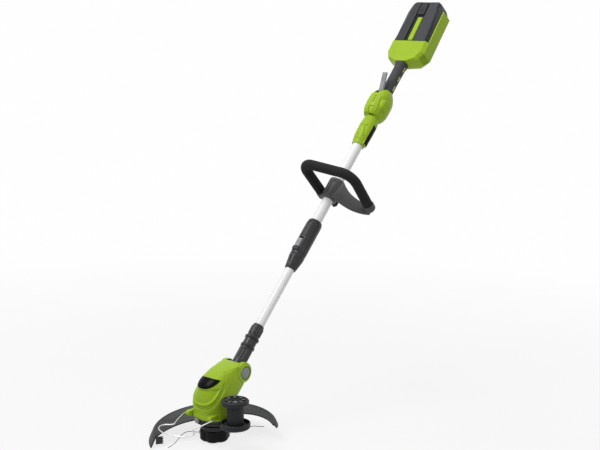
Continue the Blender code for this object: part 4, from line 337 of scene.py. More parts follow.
def closed_foam():
    """Make the closed-cell foam of the front handle."""
    look = Look("closed_foam", specular_ior_level=0.25)
    pores = look.cells(look.where, 0.0011)
    soft = look.noise(look.where, 0.004, 3.0)
    tone = look.mix(pores.above(0.1, 0.7) * 0.6 + soft * 0.4, (0.007, 0.007, 0.0072),
                    (0.018, 0.018, 0.0185))
    return look.finish(tone, soft * 0.12 + 0.78, look.bump(pores + soft * 0.6, 0.00022))


def soft_grip():
    """Make the soft moulded rubber of the rear grip, with fine leather-like cells."""
    look = Look("soft_grip", specular_ior_level=0.35)
    skin = look.cells(look.where, 0.0008)
    cloud = look.noise(look.where, 0.02, 3.0)
    worn = look.noise(look.where, 0.008, 3.0).above(0.5, 0.8)
    tone = look.mix(cloud * 0.5 + worn * 0.3, (0.034, 0.035, 0.037), (0.05, 0.051, 0.054))
    return look.finish(tone, skin * 0.1 - worn * 0.1 + 0.58, look.bump(skin, 0.0001))


def gloss_plate():
    """Make the bare gloss black of the plate and the strip, with dust and fine wiping marks."""
    look = Look("gloss_plate", coat_weight=0.02, coat_roughness=0.12, specular_ior_level=0.05)
    dust = look.noise(look.where, 0.0009, 3.0).above(0.62, 0.78)
    wipe = look.noise(look.stretched(look.where, (0.15, 1.0, 1.0)), 0.001, 2.0)
    tone = look.mix(dust * 0.25 + look.edges(0.0004) * 0.4, (0.003, 0.003, 0.0033),
                    (0.03, 0.03, 0.032))
    return look.finish(tone, wipe * 0.12 + dust * 0.2 + 0.2, look.bump(wipe, 0.00001))


CHECK_PITCH = 0.005


def battery_shell():
    """Make the battery's case: charcoal with a raised check on both halves of its upper face, and painted shade,
    near black, on its surfaces in the recess behind that face.
    """
    look = Look("battery_shell", specular_ior_level=0.25)
    along = look.local(BATTERY)
    side = look.axis(along, "X")
    front = 0.0 - look.axis(along, "Y")
    check = (side.wave(CHECK_PITCH) * look.axis(along, "Z").wave(CHECK_PITCH)).above(0.1, 0.45)
    right = side.above(0.0112, 0.0118)
    left = (0.0 - side).above(0.0112, 0.0118)
    face = front.above(0.0165, 0.0175) * (right + left * 0.3)
    # Painted shade: a mask of the surfaces 13 to 16 mm in front of the battery's axis, a few millimetres behind
    # its face, in the recess
    floor = front.above(0.013, 0.0136) * (1.0 - front.above(0.0154, 0.0162))
    grain = look.noise(look.where, 0.0005, 2.0)
    cloud = look.noise(look.where, 0.04, 3.0)
    tone = look.mix(cloud, (0.018, 0.019, 0.022), (0.027, 0.028, 0.032))
    tone = look.mix(check * face * 0.9, tone, (0.125, 0.125, 0.142))
    # Painted shade: the recessed surfaces behind the face are painted near black
    tone = look.mix(floor * 0.85, tone, (0.004, 0.004, 0.004))
    tone = look.mix(look.edges(0.0007) * 0.4, tone, (0.17, 0.17, 0.18))
    rough = grain * 0.12 + cloud * 0.06 - check * face * 0.08 + 0.42
    return look.finish(tone, rough, look.bump(check * face, 0.00035, look.bump(grain, 0.00005)))


def nylon_line():
    """Make the extruded cutting line: faint draw lines, cloudy green-grey."""
    colour = tuple(colours().line)
    look = Look("nylon_line", transmission_weight=0.12, ior=1.5)
    cloud = look.noise(look.where, 0.006, 3.0)
    fine = look.noise(look.where, 0.0004, 2.0)
    tone = look.mix(cloud, shaded(colour, 0.85), shaded(colour, 1.15))
    return look.finish(tone, fine * 0.15 + 0.32, look.bump(fine, 0.00002))


def wrapped_cells():
    """Make the shrink wrap of the cells."""
    look = Look("wrapped_cells")
    crease = look.noise(look.stretched(look.where, (0.2, 1.0, 1.0)), 0.002, 3.0)
    tone = look.mix(crease, (0.03, 0.12, 0.22), (0.05, 0.18, 0.3))
    return look.finish(tone, crease * 0.2 + 0.3, look.bump(crease, 0.0002))


LOOKS = {}


def make_looks():
    """Make every finish, most of them under the name of their slot in the record."""
    tone = colours()
    plastics = [("lime_plastic", tone.lime, 0.4, {"mottle": 0.06}),
                ("charcoal_plastic", tone.charcoal, 0.34, {"specular": 0.35}),
                ("strap_plastic", (0.075, 0.076, 0.078), 0.42, {}),
                ("guard_plastic", tone.guard, 0.48, {"grain": 0.0006, "specular": 0.15}),
                ("black_plastic", tone.black, 0.48, {"specular": 0.12}),
                ("grey_plastic", tone.grey, 0.42, {"wear": 0.2}),
                ("lead_jacket", (0.02, 0.02, 0.02), 0.5, {}),
                ("petal_grey", (0.13, 0.132, 0.15), 0.38, {"wear": 0.2}),
                ("pale_insert", (0.56, 0.64, 0.2), 0.45, {"wear": 0.1})]
    for name, colour, roughness, options in plastics:
        LOOKS[name] = plastic(name, tuple(colour), roughness, **options)
    metals = [("blued_steel", (0.045, 0.045, 0.048), 0.42),
              ("bright_steel", (0.6, 0.6, 0.61), 0.28), ("dark_steel", (0.1, 0.1, 0.105), 0.38),
              ("wire_steel", (0.66, 0.66, 0.64), 0.32), ("contact_brass", (0.7, 0.55, 0.26), 0.3)]
    for name, colour, roughness in metals:
        LOOKS[name] = metal(name, colour, roughness)
    LOOKS.update(white_tube=painted_tube(), foam=closed_foam(), soft_grip=soft_grip(),
                 plate_black=gloss_plate(), battery_plastic=battery_shell(),
                 cutting_line=nylon_line(), cell_wrap=wrapped_cells())


def to_mesh(body):
    """Close a bmesh into a mesh whose faces point outwards."""
    mesh = bpy.data.meshes.new("body")
    bmesh.ops.remove_doubles(body, verts=body.verts, dist=MERGE)
    bmesh.ops.dissolve_degenerate(body, dist=MERGE / 10.0, edges=body.edges)
    bmesh.ops.recalc_face_normals(body, faces=body.faces)
    body.to_mesh(mesh)
    body.free()
    return mesh


def loft(rings, closed=False):
    """Skin a row of rings with equal point counts; the ends are capped or joined together."""
    body = bmesh.new()
    rows = [[body.verts.new(point) for point in ring] for ring in rings]
    pairs = list(zip(rows, rows[1:]))
    if closed:
        pairs.append((rows[-1], rows[0]))
    for first, second in pairs:
        count = len(first)
        for index in range(count):
            follow = (index + 1) % count
            body.faces.new((first[index], first[follow], second[follow], second[index]))
    if not closed:
        body.faces.new(rows[0])
        body.faces.new(rows[-1])
    return to_mesh(body)


def dense(points, spacing):
    """Add points so that no stretch of a row is longer than spacing."""
    row = [Vector(points[0])]
    for point in points[1:]:
        start = row[-1]
        end = Vector(point)
        steps = max(1, math.ceil((end - start).length / spacing))
        row += [start.lerp(end, step / steps) for step in range(1, steps + 1)]
    return row


def smooth(points, spacing):
    """Return points on a smooth curve through a row of points."""
    knots = [Vector(point) for point in points]
    knots = [2.0 * knots[0] - knots[1]] + knots + [2.0 * knots[-1] - knots[-2]]
    fine = []
    for a, b, c, d in zip(knots, knots[1:], knots[2:], knots[3:]):
        steps = max(2, round((c - b).length / spacing))
        for step in range(steps):
            u = step / steps
            fine.append((2.0 * b + (c - a) * u + (2.0 * a - 5.0 * b + 4.0 * c - d) * u ** 2
                         + (3.0 * b - a - 3.0 * c + d) * u ** 3) / 2.0)
    fine.append(knots[-2])
    return fine


def evaluated(item):
    """Return the finished mesh of a loose object and drop the object."""
    bpy.context.scene.collection.objects.link(item)
    bpy.context.view_layer.update()
    ready = item.evaluated_get(bpy.context.evaluated_depsgraph_get())
    mesh = bpy.data.meshes.new_from_object(ready)
    bpy.data.objects.remove(item, do_unlink=True)
    return mesh


def curve_tube(points, radius, resolution=6):
    """Make a curve of one open spline with a round section."""
    curve = bpy.data.curves.new("tube", "CURVE")
    curve.dimensions = "3D"
    curve.bevel_depth = radius
    curve.bevel_resolution = resolution
    curve.use_fill_caps = True
    spline = curve.splines.new("POLY")
    spline.points.add(len(points) - 1)
    for knot, point in zip(spline.points, points):
        knot.co = (*point, 1.0)
    return curve


def welded(mesh):
    """Merge the doubled points of a mesh and turn its faces outwards."""
    body = bmesh.new()
    body.from_mesh(mesh)
    bpy.data.meshes.remove(mesh)
    return to_mesh(body)


def tube(points, radius, resolution=6):
    """Run a round solid along a row of points."""
    return welded(evaluated(bpy.data.objects.new("tube", curve_tube(points, radius, resolution))))


def cad_copy(*nodes):
    """Return a merged copy of frame nodes, with their flat faces whole again."""
    body = bmesh.new()
    for node in nodes:
        body.from_mesh(NODES[node].data)
    bmesh.ops.remove_doubles(body, verts=body.verts, dist=MERGE)
    bmesh.ops.dissolve_limit(body, angle_limit=math.radians(0.5), verts=body.verts,
                             edges=body.edges)
    return to_mesh(body)


def rise(value, low, high):
    """Step smoothly from 0 at low to 1 at high."""
    share = min(1.0, max(0.0, (value - low) / (high - low)))
    return share * share * (3.0 - 2.0 * share)


def band(value, start, full, fade, end):
    """Return 1 from full to fade, easing to 0 at start and at end."""
    return rise(value, start, full) * (1.0 - rise(value, fade, end))


def ridge(value, middle, half):
    """Return a smooth hump: 1 at middle, 0 from half away."""
    return 1.0 - rise(abs(value - middle), 0.0, half)


def panel(across, along, half_width, half_length, corner):
    """Return the distance to the edge of a rounded rectangle, negative inside it."""
    x = abs(across) - half_width + corner
    y = abs(along) - half_length + corner
    return math.hypot(max(x, 0.0), max(y, 0.0)) + min(max(x, y), 0.0) - corner


def recess(distance, depth, rim=0.0):
    """Return the sunk floor and the raised rim of a moulded panel at a distance from its edge."""
    return -depth * (1.0 - rise(distance, -0.0005, 0.0004)) + rim * ridge(distance, 0.0014, 0.0012)


def wrapped(angle):
    """Bring an angle into the half turn on either side of zero."""
    return (angle + math.pi) % TURN - math.pi


def even(ring, count):
    """Space the points of a closed ring evenly."""
    ring = [Vector(point) for point in ring]
    ends = list(zip(ring, ring[1:] + ring[:1]))
    step = sum((b - a).length for a, b in ends) / count
    points = []
    passed = 0.0
    for a, b in ends:
        length = (b - a).length
        while len(points) < count and len(points) * step <= passed + length:
            points.append(a.lerp(b, (len(points) * step - passed) / max(length, 1e-9)))
        passed += length
    return points


SECTION_POINTS = 240
POWER_SCALE = 100.0


def superellipse(half_x, half_y, centre_y, power):
    """Return points of a rounded section about (0, centre_y): an ellipse for 2, squarer above."""
    points = []
    for index in range(SECTION_POINTS):
        angle = TURN * index / SECTION_POINTS
        cosine = math.cos(angle)
        sine = math.sin(angle)
        points.append((half_x * math.copysign(abs(cosine) ** (2.0 / power), cosine),
                       centre_y + half_y * math.copysign(abs(sine) ** (2.0 / power), sine)))
    return points


def shell(rows, count, relief=None, spacing=0.0011):
    """Loft smooth rows of (height, half width, half depth, centre, power).

    A relief(point) moves points outwards. The powers are scaled down while the rows are
    smoothed, so that a change of power adds no rings.
    """
    rings = []
    rows = [(*row[:4], row[4] / POWER_SCALE) for row in rows]
    for height, half_x, half_y, centre, power in smooth(rows, spacing):
        ring = []
        for x, y in even(superellipse(half_x, half_y, centre, power * POWER_SCALE), count):
            point = Vector((x, y, height))
            if relief:
                out = Vector((x / half_x ** 2, (y - centre) / half_y ** 2, 0.0)).normalized()
                point += out * relief(point)
            ring.append(point)
        rings.append(ring)
    return loft(rings)


def eased(points, radius, steps=3):
    """Round every corner of a closed outline that isn't on the axis."""
    result = []
    for index, corner in enumerate(points):
        here = Vector(corner)
        before = Vector(points[index - 1]) - here
        after = Vector(points[(index + 1) % len(points)]) - here
        size = min(radius, before.length * 0.45, after.length * 0.45)
        if abs(here.x) < MERGE or size < MERGE:
            result.append(tuple(here))
            continue
        start = here + before.normalized() * size
        end = here + after.normalized() * size
        for step in range(steps + 1):
            share = step / steps
            result.append(tuple(start.lerp(here, share).lerp(here.lerp(end, share), share)))
    return result


def turned(profile, steps=None, relief=None, spacing=1.0):
    """Turn a closed profile of (radius, height) about Z.

    A relief(angle, radius, height) returns where each point goes.
    """
    steps = steps or sizes().steps
    profile = dense(profile + profile[:1], spacing)[:-1]
    rings = []
    for index in range(steps):
        angle = TURN * index / steps
        ring = []
        for radius, height in profile:
            if relief and radius > MERGE:
                radius, height = relief(angle, radius, height)
            ring.append((radius * math.cos(angle), radius * math.sin(angle), height))
        rings.append(ring)
    return loft(rings, closed=True)


def block(low, high):
    """Make a box between two corners."""
    body = bmesh.new()
    size = [b - a for a, b in zip(low, high)]
    middle = [(a + b) / 2.0 for a, b in zip(low, high)]
    bmesh.ops.create_cube(body, size=1.0, matrix=shift(*middle) @ Matrix.Diagonal((*size, 1.0)))
    return to_mesh(body)


def disc(radius, low, high, easing=0.0):
    """Make a round solid about Z."""
    return turned(eased([(0.0, high), (radius, high), (radius, low), (0.0, low)], easing))


def slab(outline, thickness, holes=()):
    """Fill a flat outline in XY, thickened evenly about its plane."""
    curve = bpy.data.curves.new("slab", "CURVE")
    curve.dimensions = "2D"
    curve.fill_mode = "BOTH"
    curve.extrude = thickness / 2.0
    for points in (outline, *holes):
        spline = curve.splines.new("POLY")
        spline.points.add(len(points) - 1)
        for knot, point in zip(spline.points, points):
            knot.co = (point[0], point[1], 0.0, 1.0)
        spline.use_cyclic_u = True
    return welded(evaluated(bpy.data.objects.new("slab", curve)))


def arc(centre, radius, start, end, steps):
    """Return points of an arc in a plane."""
    angles = [start + (end - start) * index / steps for index in range(steps + 1)]
    return [(centre[0] + radius * math.cos(angle), centre[1] + radius * math.sin(angle))
            for angle in angles]


def placed(mesh, *places):
    """Carry a mesh through places, the last one first."""
    for place in reversed(places):
        mesh.transform(place)
    return mesh


def cut(mesh, *cutters, operation="DIFFERENCE"):
    """Cut, join or intersect a mesh with others."""
    item = bpy.data.objects.new("work", mesh)
    tools = []
    for cutter in cutters:
        tool = bpy.data.objects.new("tool", cutter)
        bpy.context.scene.collection.objects.link(tool)
        tools.append(tool)
        step = item.modifiers.new("step", "BOOLEAN")
        step.operation = operation
        step.solver = "EXACT"
        step.object = tool
    result = evaluated(item)
    for tool in tools:
        bpy.data.objects.remove(tool, do_unlink=True)
    return welded(result)


def halved(mesh, place, keep=1.0):
    """Keep the part of a mesh above a place's XY plane, or below it for -1, and close the cut."""
    body = bmesh.new()
    body.from_mesh(mesh)
    normal = (place.to_3x3() @ Vector((0.0, 0.0, 1.0))) * keep
    found = bmesh.ops.bisect_plane(body, geom=body.verts[:] + body.edges[:] + body.faces[:],
                                   plane_co=place.to_translation(), plane_no=normal,
                                   clear_inner=True)
    edges = [item for item in found["geom_cut"] if isinstance(item, bmesh.types.BMEdge)]
    bmesh.ops.triangle_fill(body, use_beauty=True, use_dissolve=True, edges=edges)
    return to_mesh(body)


def repeat_tree(name, ring):
    """Build a tree that repeats the piece it is given along a row, or round a ring about Z."""
    tree = bpy.data.node_groups.new(name, "GeometryNodeTree")
    sockets = [("Piece", "NodeSocketGeometry"), ("Count", "NodeSocketInt"),
               ("Finish", "NodeSocketMaterial")]
    if ring:
        sockets.append(("Radius", "NodeSocketFloat"))
    else:
        sockets += [("Start", "NodeSocketVector"), ("Step", "NodeSocketVector")]
    for label, kind in sockets:
        tree.interface.new_socket(label, in_out="INPUT", socket_type=kind)
    tree.interface.new_socket("Geometry", in_out="OUTPUT", socket_type="NodeSocketGeometry")
    given = tree.nodes.new("NodeGroupInput").outputs
    copies = tree.nodes.new("GeometryNodeInstanceOnPoints")
    real = tree.nodes.new("GeometryNodeRealizeInstances")
    finish = tree.nodes.new("GeometryNodeSetMaterial")
    result = tree.nodes.new("NodeGroupOutput")
    if ring:
        points = tree.nodes.new("GeometryNodeMeshCircle")
        links = [(given["Count"], points.inputs["Vertices"]),
                 (given["Radius"], points.inputs["Radius"])]
        facing = tree.nodes.new("FunctionNodeAlignRotationToVector")
        facing.axis = "X"
        place = tree.nodes.new("GeometryNodeInputPosition")
        links += [(place.outputs[0], facing.inputs["Vector"]),
                  (facing.outputs[0], copies.inputs["Rotation"])]
    else:
        points = tree.nodes.new("GeometryNodeMeshLine")
        links = [(given["Count"], points.inputs["Count"]),
                 (given["Start"], points.inputs["Start Location"]),
                 (given["Step"], points.inputs["Offset"])]
    links += [(points.outputs[0], copies.inputs["Points"]),
              (given["Piece"], copies.inputs["Instance"]), (copies.outputs[0], real.inputs[0]),
              (real.outputs[0], finish.inputs["Geometry"]),
              (given["Finish"], finish.inputs["Material"]), (finish.outputs[0], result.inputs[0])]
    for start, end in links:
        tree.links.new(start, end)
    return tree


TREES = {}


def repeated(mesh, kind, finish, **inputs):
    """Repeat a mesh with the row or the ring tree and return one plain mesh."""
    if kind not in TREES:
        TREES[kind] = repeat_tree("repeat_" + kind, kind == "ring")
    item = bpy.data.objects.new("repeated", mesh)
    step = item.modifiers.new("repeat", "NODES")
    step.node_group = TREES[kind]
    names = {socket.name: socket.identifier for socket in TREES[kind].interface.items_tree
             if socket.in_out == "INPUT"}
    step[names["Finish"]] = LOOKS[finish].material
    for key, value in inputs.items():
        step[names[key]] = value
    return evaluated(item)


def add_piece(name, mesh, nodes, look=None, body=None, rounding=None, segments=2, angle=32.0):
    """Place a finished piece: it stands for its nodes, rides on their body and takes their finish.

    Trim stands for no node, so it names its look and its body. A look that isn't a slot of the
    record goes under the nodes' slot, or for trim under the light grey plastic's.
    """
    nodes = [nodes] if isinstance(nodes, str) else list(nodes)
    slot = look or SLOTS[nodes[0]]
    mesh.name = name
    mesh.materials.clear()
    mesh.materials.append(LOOKS[slot].material)
    mesh.shade_smooth()
    mesh.set_sharp_from_angle(angle=math.radians(angle))
    piece = bpy.data.objects.new(name, mesh)
    bpy.context.scene.collection.objects.link(piece)
    if rounding:
        bevel = piece.modifiers.new("rounding", "BEVEL")
        bevel.width = rounding
        bevel.segments = segments
        bevel.limit_method = "ANGLE"
        bevel.angle_limit = math.radians(angle)
        bevel.harden_normals = True
    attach(piece, body or BODIES[nodes[0]])
    if nodes:
        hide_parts(*nodes)
    if slot not in SLOTS.values():
        slot = SLOTS[nodes[0]] if nodes else "grey_plastic"
    return piece


class PieceOperator(bpy.types.Operator):
    """Common options of the operators below."""
    bl_options = {"REGISTER", "UNDO"}


class TRIMMER_OT_finishes(PieceOperator):
    """Make every finish and lay it on the frame's own pieces"""
    bl_idname = "trimmer.finishes"
    bl_label = "Finishes"

    def execute(self, context):
        make_looks()
        for name, node in NODES.items():
            node.data.materials.clear()
            node.data.materials.append(LOOKS[SLOTS[name]].material)
        return {"FINISHED"}


# Places and sizes of the head; a row is (height, front, back, half width)
SEAM = shift(0.0, -0.027, 0.117) @ spin(47.2, "X")
SEAM_BACK = SEAM.inverted()
AT_PIVOT = shift(*PIVOT) @ TO_X
EAR_SIDE = 0.0342
HEAD_POWER = 2.4
HEAD_WALL = 0.0044
WIRE_HINGE = Vector((0.0, -0.052, 0.075))
KNOB_BEARING = -106.0
KNOB_SEAT = spin(KNOB_BEARING, "Z") @ shift(0.046, 0.0, 0.0602) @ TO_X
PLATE = shift(0.0, -0.025, 0.1528) @ spin(106, "X")
HEAD_ROWS = [(0.0645, -0.047, 0.047, 0.047), (0.0717, -0.0505, 0.049, 0.049),
             (0.0837, -0.0485, 0.0485, 0.0475), (0.1029, -0.05, 0.05, 0.047),
             (0.1197, -0.05, 0.07, 0.0461), (0.1377, -0.0446, 0.0924, 0.0426),
             (0.1545, -0.0323, 0.0984, 0.0387), (0.1701, -0.0069, 0.0974, 0.0342),
             (0.1791, 0.0277, 0.0901, 0.0325), (0.1845, 0.0554, 0.0797, 0.0294)]


def head_form(grow, count, relief=None, spacing=0.0011, rows=HEAD_ROWS):
    """Loft the head's shell, grown all round, with a relief that moves its points outwards."""
    rows = [(height, half + grow, (back - front) / 2.0 + grow, (back + front) / 2.0, HEAD_POWER)
            for height, front, back, half in rows]
    return shell(rows, count, relief, spacing)


def head_relief(point):
    """Return how far the head's shell stands out at a point, by its place ahead of the seam."""
    ahead = (SEAM_BACK @ point).z
    front = 1.0 - rise(point.y, -0.012, 0.01)
    below = 1.0 - rise(point.z, 0.1385, 0.143)
    slits = 1.0 - rise(point.z, 0.149, 0.153)
    rim = band(ahead, -0.0105, -0.009, -0.0022, -0.0008) * front
    foot = 1.0 - rise(point.z, 0.07, 0.0712)
    out = 0.0011 * rim + 0.0007 * foot
    out += (0.0009 * ridge(ahead, 0.007, 0.0016) - 0.0026 * rise(ahead, 0.0085, 0.0108)) * below
    out -= (0.003 * ridge(ahead, 0.0044, 0.002) + 0.0018 * ridge(ahead, 0.0, 0.0017)) * slits
    ear = math.hypot(point.y - PIVOT.y, point.z - PIVOT.z)
    out -= 0.0016 * ridge(ear, 0.0268, 0.0022) * rise(abs(point.x), 0.026, 0.03)
    if abs(point.x) > 0.018:
        out -= flank_grooves(point)
    return out


def flank_grooves(point):
    """Return the depth of a flank's two grooves: one up the side and one back along the top."""
    half = 0.0014
    up = point.z - 0.1517
    side = ridge(point.y - 0.0002 - 0.476 * up, 0.0, half) * band(up, -0.002, 0.0, 0.02, 0.0225)
    back = point.y - 0.01
    beside = (abs(point.x) - 0.0248 - 0.1875 * back) - (point.z - 0.1723 - 0.134 * back)
    top = ridge(beside * 0.7, 0.0, half) * band(back, -0.002, 0.001, 0.04, 0.045)
    return 0.0014 * side + 0.0016 * top


def plate_prism(grow, depth):
    """Fill the bare plate's outline across the cover: pointed at both sides, fuller below."""
    half = 0.0302 + grow
    middle = 0.0013
    shares = [1.0 - step / 24.0 for step in range(49)]
    upper = [(half * share, middle + (0.0079 + grow) * (1.0 - abs(share) ** 2.4) ** 0.8)
             for share in shares]
    lower = [(half * share, middle - (0.0068 + grow) * (1.0 - abs(share) ** 3) ** 0.5)
             for share in reversed(shares)]
    return placed(slab(upper + lower[1:-1], depth), PLATE)


def plate_layer(grow, top, bottom):
    """Cut a layer of the plate's outline out of the head, between two growths of its shell."""
    layer = cut(head_form(top, 160, spacing=0.002), plate_prism(grow, 0.064), operation="INTERSECT")
    return cut(layer, head_form(bottom, 160, spacing=0.002))


def across_x(mesh):
    """Turn a slab drawn in (y, z) so that its thickness runs along X."""
    return placed(mesh, Matrix(((0, 0, 1, 0), (1, 0, 0, 0), (0, 1, 0, 0), (0, 0, 0, 1))))


def yoke_slot():
    """Outline the slot that the pole swings in, round at the pivot and open above and behind."""
    radius = 0.0226
    side = 0.0186
    swing = math.radians(61.1)
    centre = Vector(PIVOT.yz)
    lean = Vector((math.cos(swing), math.sin(swing)))
    points = arc(centre, radius, swing + math.asin(side / radius), 1.5 * math.pi, 24)
    points += [(centre.x + 0.09, centre.y - radius), (centre.x + 0.09, centre.y + 0.09)]
    points.append(tuple(centre + Vector((-lean.y, lean.x)) * side + lean * 0.09))
    return points


def wire_lug(sign):
    """Make one round-nosed lug that the wire guard turns in."""
    round_nose = 0.0062
    nose = arc(WIRE_HINGE.yz, round_nose, QUARTER, 1.5 * math.pi, 16)
    outline = nose + [(-0.022, WIRE_HINGE.z - round_nose), (-0.022, WIRE_HINGE.z + round_nose)]
    return placed(across_x(slab(outline, 0.011)), shift(sign * 0.0365, 0.0, 0.0))


class TRIMMER_OT_head(PieceOperator):
    """Mould the motor housing with its yoke, the front cover and the bare plate"""
    bl_idname = "trimmer.head"
    bl_label = "Head"

    def execute(self, context):
        form = head_form(0.0, 330, head_relief, 0.0009)
        lower_rows = [(0.06, *HEAD_ROWS[0][1:])] + HEAD_ROWS[1:]
        room = head_form(-HEAD_WALL, 60, spacing=0.01, rows=lower_rows)
        room = halved(room, shift(0.0, 0.045, 0.0) @ spin(90, "X"))
        room = halved(room, shift(0.0, 0.0, 0.1377), -1.0)
        rounds = placed(disc(0.025, -EAR_SIDE, EAR_SIDE, 0.003), AT_PIVOT)
        ring = eased([(0.0, 0.0372), (0.0182, 0.0372), (0.0205, 0.035), (0.0215, 0.028),
                      (0.0, 0.028)], 0.001)
        ring = placed(turned(ring), AT_PIVOT)
        rear = cut(halved(form.copy(), SEAM, -1.0), rounds, ring, operation="UNION")
        for sign in (1.0, -1.0):
            rear = cut(rear, wire_lug(sign), operation="UNION")
        slot = across_x(slab(yoke_slot(), 0.0454))
        pin = placed(disc(PIN_BORE, -0.06, 0.06), AT_PIVOT)
        pocket = turned([(0.0, 0.06), (0.0173, 0.06), (0.0173, 0.0342), (0.0152, 0.0342),
                         (0.0152, 0.0277), (0.0, 0.0277)])
        seat = placed(disc(0.0123, 0.0339, 0.06), AT_PIVOT @ spin(180, "X"))
        wires = placed(disc(0.00155, -0.05, 0.05), shift(*WIRE_HINGE) @ TO_X)
        lock = placed(disc(0.0082, -0.002, 0.02), KNOB_SEAT)
        rear = cut(rear, slot, pin, placed(pocket, AT_PIVOT), seat, wires, lock, room)
        add_piece("head_housing", rear, "motor_housing", rounding=0.0006, angle=38.0)
        seam = SEAM @ shift(0.0, 0.0, GAP)
        cover = cut(halved(form, seam), room)
        add_piece("head_cover", cover, "motor_front_cover", rounding=0.0007, angle=38.0)
        add_piece("almond_plate", plate_layer(0.0, 0.0012, GAP), "label_plate", rounding=0.0003)
        bezel = cut(plate_layer(0.0011, 0.0008, -0.0006), plate_prism(0.0001, 0.08))
        add_piece("plate_bezel", bezel, (), "lime_plastic", BODIES["label_plate"], rounding=0.0003)
        return {"FINISHED"}


class TRIMMER_OT_pivot(PieceOperator):
    """Turn the ribbed sleeve, its barrel with a bore for the pin, and the tilt button"""
    bl_idname = "trimmer.pivot"
    bl_label = "Pivot"

    def execute(self, context):
        profile = [(0.0, 0.13), (0.0138, 0.13), (0.015, 0.1246), (0.015, 0.0996)]
        for height in (0.0942, 0.07):
            profile += [(0.0164, height + 0.001), (0.0186, height), (0.0186, height - 0.002),
                        (0.0176, height - 0.0027), (0.0186, height - 0.0034),
                        (0.0186, height - 0.0054), (0.016, height - 0.007)]
        profile += [(0.0168, 0.06), (0.0168, 0.0), (0.0, 0.0)]
        sleeve = turned(eased(profile, 0.0009), 96, self.pads, 0.0014)
        barrel = turned(eased([(0.0, 0.0224), (0.022, 0.0224), (0.022, 0.004), (0.0216, 0.003),
                               (0.0216, -0.003), (0.022, -0.004), (0.022, -0.0224), (0.0, -0.0224)],
                              0.0008))
        sleeve = cut(sleeve, placed(barrel, TO_X), operation="UNION")
        sleeve = cut(sleeve, disc(LOWER_BORE, 0.0357, 0.15),
                     placed(disc(PIN_BORE, -0.05, 0.05), TO_X))
        add_piece("pole_sleeve", placed(sleeve, POLE), "pivot_sleeve", rounding=0.0004)
        dome = eased([(0.0, 0.0382), (0.008, 0.038), (0.013, 0.0368), (0.0148, 0.035),
                      (0.0148, 0.0305), (0.0, 0.0305)], 0.0012, 5)
        add_piece("tilt_dome", placed(turned(dome, relief=self.dished), AT_PIVOT), "tilt_button")
        return {"FINISHED"}

    @staticmethod
    def pads(angle, radius, height):
        """Raise eight pads above the sleeve's rings and sink six panels below them."""
        if 0.0996 < height < 0.1246 and radius > 0.014:
            side = wrapped(angle * 8.0) / 8.0 * radius
            pad = panel(side, height - 0.1121, 0.0042, 0.0105, 0.001)
            radius += 0.0014 * (1.0 - rise(pad, -0.0004, 0.0006))
        elif 0.024 < height < 0.061 and radius > 0.016:
            side = wrapped(angle * 6.0) / 6.0 * radius
            radius += recess(panel(side, height - 0.0425, 0.0056, 0.015, 0.002), 0.0009, 0.0003)
        return radius, height

    @staticmethod
    def dished(angle, radius, height):
        """Sink the middle of the button a little."""
        return radius, height - 0.0006 * (1.0 - rise(radius, 0.0, 0.009)) * (height > 0.036)


